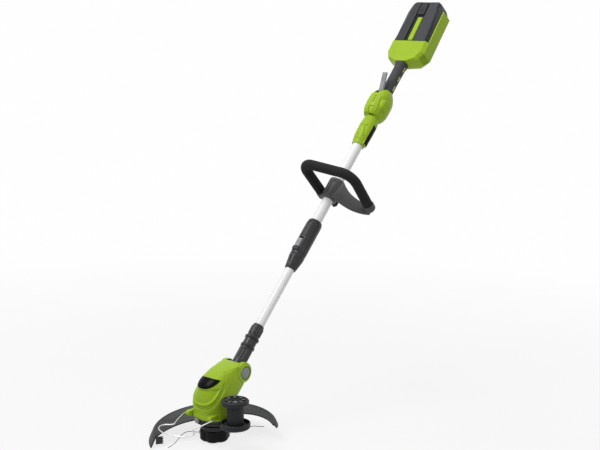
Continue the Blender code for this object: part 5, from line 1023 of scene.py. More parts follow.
class TRIMMER_OT_pole(PieceOperator):
    """Turn the tubes, the telescopic clamp with its collar and the turn button"""
    bl_idname = "trimmer.pole"
    bl_label = "Pole"

    def execute(self, context):
        for node, outer, start, end in (("upper_tube", 0.014, CLAMP_STEP, 0.735),
                                        ("lower_tube", 0.012, 0.036, 0.56)):
            inner = outer - 0.0014
            sleeve = eased([(outer, end), (outer, start), (inner, start), (inner, end)], 0.0004)
            add_piece("painted_" + node, placed(turned(sleeve, spacing=0.02), POLE), node)
        dome = [(0.0162 + 0.0043 * math.sqrt(1.0 - step * step / 64.0), 0.436 + 0.002 * step)
                for step in range(9)]
        bore = [(UPPER_BORE, CLAMP_MOUTH), (UPPER_BORE, CLAMP_STEP - GAP),
                (LOWER_BORE, CLAMP_STEP - GAP), (LOWER_BORE, CLAMP_FOOT)]
        profile = [(0.0202, CLAMP_FOOT), (0.0205, CLAMP_FOOT + 0.002)] + dome + bore
        clamp = turned(eased(profile, 0.0006, 2), 128, self.clamp_relief, 0.0012)
        pocket = block((-0.0068, -0.05, 0.3617), (0.0068, -0.0155, 0.3923))
        ledge = block((-0.0088, -0.0232, 0.3512), (0.0088, -0.015, 0.3606))
        clamp = cut(cut(clamp, ledge, operation="UNION"), pocket)
        lowest, apart, bearing = 0.362, 0.066, spin(22, "Z")
        holes = [placed(disc(0.003, -0.0012, 0.01), shift(0.0, 0.0, height), bearing,
                        shift(0.0205, 0.0, 0.0), TO_X) for height in (lowest, lowest + apart)]
        clamp = cut(clamp, *holes)
        for word, keep in (("left", -1.0), ("right", 1.0)):
            seam = shift(GAP / 2.0 * keep, 0.0, 0.0) @ TO_X
            half = placed(halved(clamp.copy(), seam, keep), POLE)
            add_piece("clamp_" + word, half, "shaft_clamp_" + word, rounding=0.0004, angle=35.0)
        head = placed(cross_screw(0.0027, 0.0011), bearing @ TO_X)
        row = repeated(head, "row", "dark_steel", Count=2, Step=(0.0, 0.0, apart),
                       Start=tuple(bearing @ Vector((0.0195, 0.0, lowest))))
        add_piece("clamp_screws", placed(row, POLE), (), "dark_steel", "handle")
        button = block((-0.0065, -0.0233, 0.362), (0.0065, -0.0178, 0.3855))
        grooves = [block((-0.0048, -0.03, height), (0.0048, -0.0228, height + 0.0012))
                   for height in (0.368, 0.3705, 0.373, 0.3755)]
        add_piece("turn_key", placed(cut(button, *grooves), POLE), "turn_button", rounding=0.0008,
                  segments=3)
        cone = [(0.02, 0.3502), (0.02, 0.3365), (0.015, 0.3032), (0.0141, 0.3012),
                (LOWER_BORE, 0.3012), (LOWER_BORE, 0.3502)]
        collar = turned(eased(cone, 0.0008), 128, self.collar_relief, 0.0012)
        add_piece("twist_cone", placed(collar, POLE), "twist_collar")
        return {"FINISHED"}

    @staticmethod
    def clamp_relief(angle, radius, height):
        """Sink long panels into the clamp over its button and at its sides."""
        if radius > 0.0158:
            for centre, middle, half in ((-QUARTER, 0.4185, 0.0215), (-0.26, 0.405, 0.034),
                                         (math.pi + 0.26, 0.405, 0.034), (QUARTER, 0.405, 0.034)):
                side = wrapped(angle - centre) * 0.0205
                radius += recess(panel(side, height - middle, 0.0052, half, 0.003), 0.0014, 0.0006)
            radius -= 0.0004 * ridge(height, 0.396, 0.001)
        return radius, height

    @staticmethod
    def collar_relief(angle, radius, height):
        """Sink six slim ovals into the collar's cone, with a ring at its wide end."""
        if radius > 0.0128 and 0.3 < height < 0.35:
            side = wrapped((angle + 0.4) * 6.0) / 6.0 * radius
            width = 0.003 + 0.05 * (height - 0.307)
            radius += recess(panel(side, height - 0.3235, width, 0.016, 0.0028), 0.0012, 0.0004)
            radius -= 0.0005 * ridge(height, 0.344, 0.0009)
        return radius, height


def cross_screw(radius, height):
    """Turn a screw head about Z with a cross recess in it."""
    head = turned(eased([(0.0, height), (radius * 0.8, height), (radius, height * 0.5),
                         (radius, -height), (0.0, -height)], height * 0.3, 2), 20)
    long = radius * 0.62
    thin = radius * 0.16
    return cut(head, block((-long, -thin, height * 0.3), (long, thin, height * 2.0)),
               block((-thin, -long, height * 0.3), (thin, long, height * 2.0)))


# The debris guard: a crescent round the spool axis, cut off aslant at its tail and its tip
GUARD_TAIL = math.radians(34.0)
GUARD_TIP = math.radians(241.0)
TAIL_CUT = math.radians(92.0)
TIP_CUT = math.radians(207.0)
GUARD_WALL = 0.003
GUARD_REACH = 0.15
HUB_REACH = 0.046
HUB_TOP = 0.0502


def guard_section(angle):
    """Return a section of the guard as (radius, height): plate, raised shelf, crown and skirt."""
    crown = 0.039 + 0.011 * math.sin(angle)
    middle = (GUARD_TAIL + GUARD_TIP) / 2.0
    root = 0.0385
    across = 0.1035
    if angle < TAIL_CUT:
        root += across * ((TAIL_CUT - angle) / (TAIL_CUT - GUARD_TAIL)) ** 0.55
    elif angle > TIP_CUT:
        root += across * (angle - TIP_CUT) / (GUARD_TIP - TIP_CUT)
    share = abs(angle - middle) / (GUARD_TIP - middle)
    skirt = 0.024 + ((0.009 if angle < middle else 0.0285) - 0.024) * share ** 3
    start = max(HUB_REACH, root + 0.0016)
    turn = GUARD_REACH - GUARD_WALL
    fall = (crown - HUB_TOP) / (GUARD_REACH - HUB_REACH)
    foot = GUARD_REACH + 0.4 * skirt

    def top(radius):
        return HUB_TOP + fall * max(radius - HUB_REACH, 0.0)

    rows = [start + (turn - start) * step / 56.0 for step in range(57)]
    shelf = 0.0011 * band(angle, 1.75, 1.85, 3.55, 3.65)
    upper = [(radius, top(radius) + 0.0012 * ridge(radius, 0.143, 0.0042)
              + shelf * band(radius, 0.106, 0.1085, 0.136, 0.1385)) for radius in rows]
    edge = [(GUARD_REACH, top(GUARD_REACH) - GUARD_WALL * 0.7), (foot, crown - skirt),
            (foot - GUARD_WALL, crown - skirt), (turn - 0.0005, top(turn) - GUARD_WALL * 1.2),
            (start, top(start) - GUARD_WALL), (root, top(root) - GUARD_WALL)]
    return eased([(root, top(root))] + upper + edge, 0.0016, 2)


class TRIMMER_OT_guard(PieceOperator):
    """Mould the debris guard, its hub, knob and cutter, the wheel's arm and the wire bow"""
    bl_idname = "trimmer.guard"
    bl_label = "Guard"

    def execute(self, context):
        rings = []
        for index in range(121):
            angle = GUARD_TAIL + (GUARD_TIP - GUARD_TAIL) * index / 120.0
            rings.append([(radius * math.cos(angle), radius * math.sin(angle), height)
                          for radius, height in guard_section(angle)])
        add_piece("crescent_guard", loft(rings), "debris_guard", rounding=0.0005, angle=50.0)
        flange = eased([(0.046, 0.0642), (0.046, 0.061), (0.0452, 0.0604), (0.0452, 0.0562),
                        (0.0036, 0.0562), (0.0036, 0.0642)], 0.0006)
        stud = placed(disc(0.0018, -0.0092, 0.01), KNOB_SEAT)
        add_piece("hub_flange", cut(turned(flange, 96), stud), "base_flange")
        cap = eased([(0.0, 0.0058), (0.004, 0.0065), (0.0062, 0.0062), (0.0075, 0.0046),
                     (0.0075, GAP), (0.0015, GAP), (0.0015, -0.0084), (0.0, -0.0084)], 0.0005)
        cap = placed(turned(cap, 60, self.scallops), KNOB_SEAT)
        add_piece("guard_wing_knob", cap, "guard_knob")
        add_piece("wheel_arm", cad_copy("wheel_bracket"), "wheel_bracket", rounding=0.001,
                  segments=3, angle=40.0)
        add_piece("toothed_cutter", cad_copy("line_cutter"), "line_cutter", "blued_steel",
                  rounding=0.0003)
        self.wire()
        return {"FINISHED"}

    @staticmethod
    def scallops(angle, radius, height):
        """Flute the rim of the small knob."""
        if radius > 0.006 and height > 0.0:
            radius -= 0.0005 * (1.0 + math.cos(angle * 10.0)) / 2.0
        return radius, height

    @staticmethod
    def wire():
        """Bend the wire bow from one lug round to the other; the shares are of its reach."""
        reach = 0.108
        wire = 0.0014
        shares = [(0.0453, 0.0, 0.0), (0.0453, -0.07, -0.01), (0.0389, -0.31, -0.06),
                  (0.0322, -0.49, -0.11), (0.0374, -0.56, -0.12), (0.0499, -0.63, -0.13),
                  (0.052, -0.73, -0.135), (0.0437, -0.86, -0.14), (0.0239, -0.96, -0.14)]
        half = [WIRE_HINGE + Vector((x, y * reach, z * reach)) for x, y, z in shares]
        other = [Vector((-point.x, point.y, point.z)) for point in reversed(half)]
        bow = smooth(half + [Vector((0.0, -0.16, 0.0599))] + other, 0.0016)
        ends = [WIRE_HINGE + Vector((x, 0.0, 0.0)) for x in (0.0313, -0.0313)]
        add_piece("wire_bow", tube([ends[0]] + bow + [ends[1]], wire, 5), "wire_guard")


class TRIMMER_OT_wheel(PieceOperator):
    """Turn the edging wheel: spoked top, ribbed neck and open foot ring"""
    bl_idname = "trimmer.wheel"
    bl_label = "Edging wheel"

    def execute(self, context):
        profile = [(0.0307, 0.07), (0.0335, 0.0672), (0.0335, 0.0616), (0.0281, 0.0554),
                   (0.0205, 0.0504), (0.0205, 0.0065), (0.0332, 0.0065), (0.0332, 0.0145),
                   (0.036, 0.0131), (0.036, 0.0028), (0.0332, 0.0), (0.0046, 0.0), (0.0046, 0.0616),
                   (0.0081, 0.0616), (0.0081, 0.0672), (0.0109, 0.0672), (0.0137, 0.0648),
                   (0.0251, 0.0648), (0.0265, 0.07)]
        wheel = turned(eased(profile, 0.0008, 2), 180, self.relief, 0.0016)
        place = shift(0.0862, -0.0188, 0.0567)
        add_piece("edging_wheel", placed(wheel, place), "edge_wheel")
        outline = [(0.005, 0.0), (0.0044, 0.0022), (0.002, 0.0036), (-0.0018, 0.0028),
                   (-0.0044, 0.0012)]
        outline += [(x, -y) for x, y in reversed(outline[1:])]
        outline = smooth([(*point, 0.0) for point in outline], 0.0006)
        petal = placed(slab([point[:2] for point in outline], 0.0014), shift(0.0, 0.0, 0.0694))
        petals = repeated(petal, "ring", "petal_grey", Count=8, Radius=0.0196)
        add_piece("wheel_petals", placed(petals, place), (), "petal_grey", BODIES["edge_wheel"],
                  rounding=0.0004)
        return {"FINISHED"}

    @staticmethod
    def relief(angle, radius, height):
        """Span the top's ring with eight spokes, knurl its rim, rib the neck, groove the foot."""
        if height > 0.063 and 0.012 < radius < 0.0262:
            side = abs(wrapped(angle * 8.0)) / 8.0 * radius
            spoke = (1.0 - rise(side, 0.0014, 0.003)) * band(radius, 0.012, 0.0137, 0.0255, 0.0262)
            height += (0.069 - height) * spoke
        elif radius > 0.032 and height > 0.056:
            radius -= 0.0004 * (0.5 + 0.5 * math.cos(angle * 60.0))
        elif 0.007 < height < 0.052 and 0.019 < radius < 0.029:
            radius -= 0.0007 * rise(math.cos(angle * 12.0), 0.2, 0.7)
        elif height < 0.013 and radius > 0.035:
            radius -= 0.0005 * ridge(height, 0.0085, 0.001)
        return radius, height


class TRIMMER_OT_spool(PieceOperator):
    """Mould the lobed spool cap, its base, the line eyelets and the feed knob"""
    bl_idname = "trimmer.spool"
    bl_label = "Spool"

    def execute(self, context):
        profile = [(0.017, 0.003), (0.0316, 0.003), (0.0368, 0.0078), (0.0368, 0.0295),
                   (0.0346, 0.0325), (0.0316, 0.0325), (0.0316, 0.006), (0.017, 0.006)]
        cap = turned(eased(profile, 0.0012), 180, self.lobes, 0.0016)
        spots = [spin(bearing, "Z") @ shift(0.0331, 0.0, 0.02) @ TO_X for bearing in (218.0, 38.0)]
        cap = cut(cap, *[placed(disc(0.0039, -0.01, 0.01), spot) for spot in spots])
        add_piece("lobed_cap", cap, "spool_cap")
        base = [(0.0033, 0.0455), (0.0272, 0.0455), (0.034, 0.0425), (0.034, 0.04),
                (0.0332, 0.0396), (0.0332, 0.038), (0.034, 0.0376), (0.034, 0.0328),
                (0.0033, 0.0328)]
        base = turned(eased(base, 0.0005, 2), 144, self.ribs, 0.002)
        add_piece("ribbed_base", base, "spool_base")
        lip = eased([(0.0012, 0.005), (0.0048, 0.005), (0.0048, 0.004), (0.0036, 0.004),
                     (0.0036, -0.0025), (0.0012, -0.0025)], 0.0004)
        for word, spot in zip(("left", "right"), spots):
            add_piece("eyelet_" + word, placed(turned(lip, 32), spot), "line_eyelet_" + word)
        knob = [(0.0, 0.02), (0.0075, 0.02), (0.0075, 0.006), (0.0144, 0.006), (0.016, 0.003),
                (0.0149, 0.0012), (0.0115, 0.0), (0.006, 0.0), (0.0056, 0.0004), (0.0, 0.0004)]
        add_piece("bump_knob", turned(eased(knob, 0.0007), 96, self.grooves, 0.0015), "feed_knob")
        self.spring()
        return {"FINISHED"}

    @staticmethod
    def spring():
        """Coil the spring of the knob."""
        wire = 0.0006
        radius = 0.0055
        turns = 4
        per_turn = 20
        low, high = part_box("feed_spring")
        bottom = low[2] + wire
        height = high[2] - low[2] - 2.0 * wire
        points = []
        for step in range(turns * per_turn + 1):
            angle = TURN * step / per_turn
            points.append((radius * math.cos(angle), radius * math.sin(angle),
                           bottom + height * step / (turns * per_turn)))
        coil = add_piece("coil_spring", tube(points, wire, 3), "feed_spring")
        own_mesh(coil)

    @staticmethod
    def lobes(angle, radius, height):
        """Pinch six finger hollows into the cap's wall, fading out at its upper edge."""
        if radius > 0.0318 or (height < 0.005 and radius > 0.028):
            hollow = 1.0 - abs(math.cos(angle * 3.0)) ** 0.75
            radius -= 0.0046 * hollow * (1.0 - rise(height, 0.0285, 0.0325))
        return radius, height

    @staticmethod
    def ribs(angle, radius, height):
        """Rib the base's wall below its band."""
        if radius > 0.0325 and height < 0.0372:
            radius -= 0.0007 * rise(math.cos(angle * 24.0), 0.3, 0.8)
        return radius, height

    @staticmethod
    def grooves(angle, radius, height):
        """Cut a wear ring and eight short grip grooves into the knob's foot."""
        if height < 0.0035 and radius > 0.012:
            radius -= 0.0006 * rise(math.cos(angle * 8.0), 0.85, 0.97)
        elif height < 0.0002 and radius < 0.0114:
            height += 0.0003 * ridge(radius, 0.0088, 0.0008)
        return radius, height


def bent(corners, radii, steps=24):
    """Return a planar path through corners with an arc of its own radius at each inner one."""
    path = [Vector(corners[0])]
    for before, corner, after, radius in zip(corners, corners[1:], corners[2:], radii):
        here = Vector(corner)
        back = (Vector(before) - here).normalized()
        on = (Vector(after) - here).normalized()
        half = back.angle(on) / 2.0
        centre = here + (back + on).normalized() * (radius / math.sin(half))
        start = here + back * (radius / math.tan(half)) - centre
        end = here + on * (radius / math.tan(half)) - centre
        first = math.atan2(start.y, start.x)
        sweep = math.atan2(start.cross(end), start.dot(end))
        path += [Vector(point) for point in arc(centre, radius, first, first + sweep, steps)]
    return path + [Vector(corners[-1])]


def lengthened(points, extra):
    """Run a path on straight past both its ends."""
    first = points[0] + (points[0] - points[1]).normalized() * extra
    last = points[-1] + (points[-1] - points[-2]).normalized() * extra
    return [first] + points[1:-1] + [last]


class TRIMMER_OT_handle(PieceOperator):
    """Mould the front handle: foam loop, curved bracket, clamp cap and knob"""
    bl_idname = "trimmer.handle"
    bl_label = "Front handle"

    def execute(self, context):
        corners = [(-0.0325, -0.005), (-0.049, 0.109), (0.106, 0.081), (0.108, -0.035)]
        path = [Vector((x, -up, 0.0)) for x, up in bent(corners, (0.024, 0.04))]
        spaced = dense(path, 0.004)
        core = 0.0083
        foam = tube(spaced, 0.0133, 12)
        foam = cut(foam, tube(lengthened(spaced, 0.016), core, 4))
        add_piece("foam_loop", placed(foam, HANDLE), "handle_grip", rounding=0.0008, segments=3,
                  angle=50.0)
        seat = HANDLE.inverted() @ POLE @ shift(0.0, 0.0, STRAP_FOOT)
        collar = eased([(0.022, 0.06), (0.022, 0.0), (0.01, 0.0), (0.01, 0.06)], 0.0012)
        collar = placed(turned(collar, 120, self.windows, 0.0015), seat)
        cups = []
        for foot, to, brim in ((path[0], path[1], 0.0142), (path[-1], path[-2], 0.0152)):
            up = (to - foot).normalized()
            lean = up.to_track_quat("Z", "X").to_matrix().to_4x4()
            cup = eased([(0.0, 0.0096), (brim - 0.0008, 0.0096), (brim, 0.008), (brim, -0.006),
                         (brim - 0.004, -0.0112), (0.0, -0.0112)], 0.0014)
            cups.append(placed(turned(cup), Matrix.Translation(foot) @ lean))
        bracket = cut(self.strap(), collar, *cups, operation="UNION")
        rest = block((-0.0235, 0.009, -0.03), (0.0235, 0.06, 0.09))
        bore = placed(disc(UPPER_BORE, -0.06, 0.12), seat)
        bracket = cut(bracket, tube(spaced, 0.0135, 8), tube(lengthened(spaced, 0.0083), core, 4),
                      bore, placed(rest, seat))
        add_piece("handle_strap", placed(bracket, HANDLE), "handle_bracket", "strap_plastic",
                  rounding=0.0007, angle=38.0)
        cap = eased([(0.0217, 0.0594), (0.0217, 0.0006), (0.01, 0.0006), (0.01, 0.0594)], 0.0012)
        above = block((-0.05, -0.05, -0.01), (0.05, 0.0093, 0.08))
        knob_hole = placed(disc(0.0033, -0.02, 0.03), shift(0.0, 0.0223, 0.011) @ spin(90, "X"))
        cap = cut(turned(cap, 96), above, disc(UPPER_BORE, -0.01, 0.08), knob_hole)
        add_piece("strap_cap", placed(cap, POLE, shift(0.0, 0.0, STRAP_FOOT)), "handle_clamp_cap",
                  rounding=0.0006, angle=38.0)
        knob = eased([(0.0, 0.0072), (0.003, 0.0072), (0.003, -GAP), (0.0066, -GAP),
                      (0.0095, -0.003), (0.0095, -0.011), (0.008, -0.0125), (0.0, -0.0125)], 0.0008)
        place = POLE @ shift(0.0, 0.022, STRAP_FOOT + 0.011) @ spin(90, "X")
        knob = placed(turned(knob, 90, self.lobes, 0.002), place)
        add_piece("lobed_hand_knob", knob, "handle_knob")
        return {"FINISHED"}

    @staticmethod
    def strap():
        """Loft the broad strap that swings out from the clamp to the right foot."""
        rows = [(0.014, 0.007, -0.022, 0.038), (0.0238, 0.005, -0.022, 0.0342),
                (0.0454, -0.01, -0.0253, 0.0182), (0.0691, -0.0238, -0.0268, 0.0099),
                (0.0929, -0.0371, -0.0224, 0.0091), (0.1102, -0.0455, -0.0154, 0.0099)]
        rings = []
        for x, up, low, high in smooth(rows, 0.002):
            outline = eased([(low, up - 0.004), (low, up + 0.004), (high, up + 0.004),
                             (high, up - 0.004)], 0.0019, 4)
            rings.append([(x, -height, along) for along, height in outline])
        return loft(rings)

    @staticmethod
    def windows(angle, radius, height):
        """Sink two tall windows into the upper side of the clamp, with a rib between them."""
        if radius > 0.02:
            for centre in (-1.95, -1.28):
                side = wrapped(angle - centre) * 0.022
                window = panel(side, height - 0.032, 0.0046, 0.0195, 0.0012)
                radius += recess(window, 0.0026, 0.0003)
            radius -= 0.0005 * ridge(height, 0.006, 0.001)
        return radius, height

    @staticmethod
    def lobes(angle, radius, height):
        """Flute the knob for the fingers."""
        if radius > 0.0075 and height < -0.002:
            radius -= 0.0012 * (0.5 + 0.5 * math.cos(angle * 6.0))
        return radius, height


class TRIMMER_OT_line(PieceOperator):
    """Run the two free ends of the cutting line out of their eyelets"""
    bl_idname = "trimmer.line"
    bl_label = "Cutting line"

    def execute(self, context):
        for side, route in LINE_ROUTES.items():
            points = smooth(route, LINE_DIAMETER)
            piece = bpy.data.objects.new("cut_line_" + side,
                                         curve_tube(points, LINE_DIAMETER / 2.0, 4))
            bpy.context.scene.collection.objects.link(piece)
            piece.data.materials.append(LOOKS["cutting_line"].material)
            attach(piece, "rotor")
            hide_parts("line_end_" + side)
            length = sum((b - a).length for a, b in zip(points, points[1:]))
        return {"FINISHED"}


# The control housing: height, half width, half depth, centre towards +Y and power of each section
CONTROL_ROWS = [(0.706, 0.0172, 0.0172, 0.0, 2.0), (0.7116, 0.0184, 0.0184, 0.0, 2.0),
                (0.7353, 0.0222, 0.0222, 0.0, 2.0), (0.772, 0.0228, 0.0228, 0.0, 2.0),
                (0.7934, 0.0205, 0.0205, 0.0, 2.0), (0.799, 0.0205, 0.0205, 0.0, 2.0),
                (0.8018, 0.02436, 0.0284, -0.002, 2.3), (0.822, 0.029, 0.0355, -0.002, 2.4),
                (0.858, 0.029, 0.0355, -0.002, 2.4), (0.876, 0.02494, 0.0284, -0.001, 2.2),
                (0.8842, 0.0213, 0.0213, 0.0, 2.0), (0.888, 0.019, 0.019, 0.0, 2.0)]
CONTROL_WALL = 0.0028
SIDE_BOSS = shift(0.0, -0.009, 0.836) @ TO_X
SIDE_CAP = shift(0.0303, -0.009, 0.836) @ TO_X
FIRST_LIGHT = Vector((0.0053, -0.0372, 0.8312))
LIGHT_PITCH = 0.0086
LIGHTS = 3


def control_relief(point):
    """Return how far the control housing stands out at a point."""
    angle = math.atan2(point.y, point.x)
    height = point.z
    window = panel(point.x - 0.0062, height - 0.807, 0.0062, 0.01, 0.001)
    out = recess(window, 0.0024, 0.0004) * (point.y < 0.0)
    for centre in (-0.79, -1.57):
        side = wrapped(angle - centre + 9.0 * (height - 0.728)) * 0.0225
        width = 0.0014 + 0.0036 * rise(height, 0.726, 0.764)
        out += recess(panel(side, height - 0.745, width, 0.0185, 0.0011) * 0.7, 0.002, 0.0003)
    share = (0.852 - height) / 0.049
    if 0.0 < share < 1.0:
        side = wrapped(angle - math.radians(-58.8 + 9.5 * share)) * 0.036
        crease = 0.001 * ridge(side, -0.0024, 0.0022) - 0.0015 * ridge(side, 0.0006, 0.0016)
        out += crease * band(share, 0.0, 0.08, 0.9, 1.0)
    for centre in (1.25, 1.89):
        side = wrapped(angle - centre) * 0.03
        window = panel(side, height - 0.829, 0.005, 0.014, 0.002)
        out += recess(window, 0.0009, 0.0002) * (height > 0.8)
    out -= 0.0006 * ridge(height, 0.7185, 0.0009) + 0.0007 * ridge(height, 0.7965, 0.0009)
    return out


def strip_slice(mesh, half, start=0.01):
    """Keep the part of a mesh on the strip's side of the neck, as wide as twice half."""
    wedge = placed(block((start, -half, 0.7), (0.05, half, 0.78)), spin(6, "Z"))
    return cut(mesh, wedge, operation="INTERSECT")


def joined(meshes):
    """Gather several meshes in one."""
    body = bmesh.new()
    for mesh in meshes:
        body.from_mesh(mesh)
    return to_mesh(body)


class TRIMMER_OT_controls(PieceOperator):
    """Mould the control housing with its strip, side cap, charge lights, lever and trigger"""
    bl_idname = "trimmer.controls"
    bl_label = "Controls"

    def execute(self, context):
        form = shell(CONTROL_ROWS, 240, control_relief, 0.0008)
        room = [(height, wide - CONTROL_WALL, deep - CONTROL_WALL, centre, power)
                for height, wide, deep, centre, power in CONTROL_ROWS[2:11]]
        lever_slot = block((-0.0071, -0.053, 0.862), (0.0071, -0.011, 0.8892))
        trigger_slot = block((-0.0061, 0.0175, 0.849), (0.0061, 0.053, 0.884))
        form = cut(form, shell(room, 60, spacing=0.004), disc(UPPER_BORE, 0.7, 0.74),
                   disc(0.0128, 0.883, 0.9), lever_slot, trigger_slot)
        ring = turned([(0.04, 0.7733), (0.04, 0.7107), (0.0215, 0.7107), (0.0215, 0.7733)], 96)
        pocket = strip_slice(ring, 0.0083)
        holes = [placed(disc(0.0032, -0.0014, 0.02), place) for place in self.screws()]
        lights = [placed(disc(0.0019, -0.001, 0.01), place) for place in self.lights()]
        for word, keep in (("left", -1.0), ("right", 1.0)):
            half = halved(form.copy(), shift(GAP / 2.0 * keep, 0.0, 0.0) @ TO_X, keep)
            half = cut(half, *(lights if keep > 0.0 else holes))
            if keep > 0.0:
                boss = eased([(0.0, 0.03), (0.0189, 0.03), (0.0189, 0.0209), (0.0, 0.0209)], 0.0005)
                pad = strip_slice(disc(0.0221, 0.7095, 0.7745, 0.0006), 0.0094, 0.016)
                half = cut(half, placed(turned(boss, 96), SIDE_BOSS), operation="UNION")
                half = cut(cut(half, pad, operation="UNION"), pocket)
            add_piece("controls_" + word, placed(half, POLE), "control_housing_" + word,
                      rounding=0.0004, angle=35.0)
        self.trims()
        cap = eased([(0.0, 0.0045), (0.0096, 0.0045), (0.0157, 0.0036), (0.0175, 0.0016),
                     (0.0175, 0.0), (0.0, 0.0)], 0.0012)
        cap = placed(turned(cap, 160, self.ridges, 0.0009), POLE, SIDE_CAP)
        add_piece("ridged_cap", cap, "side_cap")
        thumb = POLE @ shift(0.0, -0.0298, 0.8855) @ spin(113.4, "X")
        grooves = [placed(block((-0.0045, along, -0.0006), (0.0045, along + 0.0011, 0.002)), thumb)
                   for along in (0.017, 0.0205, 0.024, 0.0275, 0.031)]
        add_piece("lever_paddle", cut(cad_copy("lock_off_lever"), *grooves), "lock_off_lever",
                  rounding=0.0009, angle=30.0)
        add_piece("trigger_paddle", cad_copy("trigger"), "trigger", rounding=0.0012, segments=3,
                  angle=30.0)
        return {"FINISHED"}

    @staticmethod
    def screws():
        """List the places of the four housing screws, all on the left."""
        sides = [(0.0212, 0.724), (0.0218, 0.779), (0.0287, 0.816), (0.0287, 0.864)]
        return [shift(-x, 0.0, height) @ spin(-90, "Y") for x, height in sides]

    @staticmethod
    def lights():
        """List the places of the three charge lights on the upper side."""
        step = Vector((0.0, 0.0, LIGHT_PITCH))
        return [shift(*(FIRST_LIGHT + step * index)) @ spin(90, "X") for index in range(LIGHTS)]

    def trims(self):
        """Fill the screw holes, the light windows and the strip's pocket."""
        heads = [placed(cross_screw(0.0029, 0.0009), place @ shift(0.0, 0.0, -0.001))
                 for place in self.screws()]
        add_piece("controls_screws", placed(joined(heads), POLE), (), "dark_steel", "handle")
        lens = [(0.0, 0.0003), (0.0012, 0.0003), (0.0017, -0.0001), (0.0017, -0.0016),
                (0.0, -0.0016)]
        lens = turned(eased(lens, 0.0003, 2), 24)
        row = repeated(placed(lens, spin(90, "X")), "row", "plate_black", Count=LIGHTS,
                       Start=tuple(FIRST_LIGHT), Step=(0.0, 0.0, LIGHT_PITCH))
        add_piece("charge_lights", placed(row, POLE), (), "plate_black", "handle")
        ring = [(0.0231, 0.773), (0.0231, 0.711), (0.0218, 0.711), (0.0218, 0.773)]
        strip = strip_slice(turned(eased(ring, 0.0003, 1), 160), 0.008)
        add_piece("bare_strip", placed(strip, POLE), "label_strip", rounding=0.0003)

    @staticmethod
    def ridges(angle, radius, height):
        """Sink the cap's face inside a rim and raise four curved ridges on it."""
        if height > 0.003:
            reach = math.hypot(radius * math.cos(angle) - 0.02, radius * math.sin(angle) + 0.004)
            inside = 1.0 - rise(radius, 0.0128, 0.014)
            for bow in (0.011, 0.017, 0.023, 0.029):
                height += 0.0009 * ridge(reach, bow, 0.0016) * inside
            height -= 0.0006 * inside
        return radius, height


# The pale inserts of the rear grip
INSERTS = 3
FIRST_INSERT = 0.907
INSERT_PITCH = 0.033


class TRIMMER_OT_grip(PieceOperator):
    """Mould the rear grip's soft sleeve and its three pale inserts"""
    bl_idname = "trimmer.grip"
    bl_label = "Rear grip"

    def execute(self, context):
        profile = [(0.0179, 0.9932), (0.0179, 0.984), (0.0166, 0.9806), (0.0161, 0.941),
                   (0.0166, 0.8933), (0.0158, 0.8883), (0.0128, 0.8883), (0.0128, 0.9932)]
        sleeve = turned(eased(profile, 0.001), 120, self.relief, 0.0012)
        add_piece("soft_sleeve", placed(sleeve, POLE), "grip_sleeve")
        half = sizes().grip_insert / 2.0
        outline = eased([(-half, -0.0022), (half, -0.0022), (half, 0.0022), (-half, 0.0022)],
                        0.0018, 4)
        insert = placed(slab(outline, 0.0016), spin(90, "Y"))
        row = repeated(insert, "row", "pale_insert", Count=INSERTS,
                       Start=(0.0157, 0.0, FIRST_INSERT), Step=(0.0, 0.0, INSERT_PITCH))
        add_piece("grip_inserts", placed(row, POLE), (), "pale_insert", "handle", rounding=0.0004)
        return {"FINISHED"}

    @staticmethod
    def relief(angle, radius, height):
        """Sink the pockets of the inserts and a row of fine finger grooves at the underside."""
        if radius > 0.015:
            side = wrapped(angle) * 0.0166
            half = sizes().grip_insert / 2.0
            for index in range(INSERTS):
                middle = FIRST_INSERT + INSERT_PITCH * index
                pocket = panel(side, height - middle, 0.0026, half + 0.0004, 0.002)
                radius += recess(pocket, 0.0012, 0.0004)
            under = rise(abs(wrapped(angle + QUARTER)), 1.5, 2.1)
            wave = 0.5 + 0.5 * math.cos(TURN * height / 0.0042)
            radius -= 0.00025 * under * wave * (height < 0.975)
        return radius, height


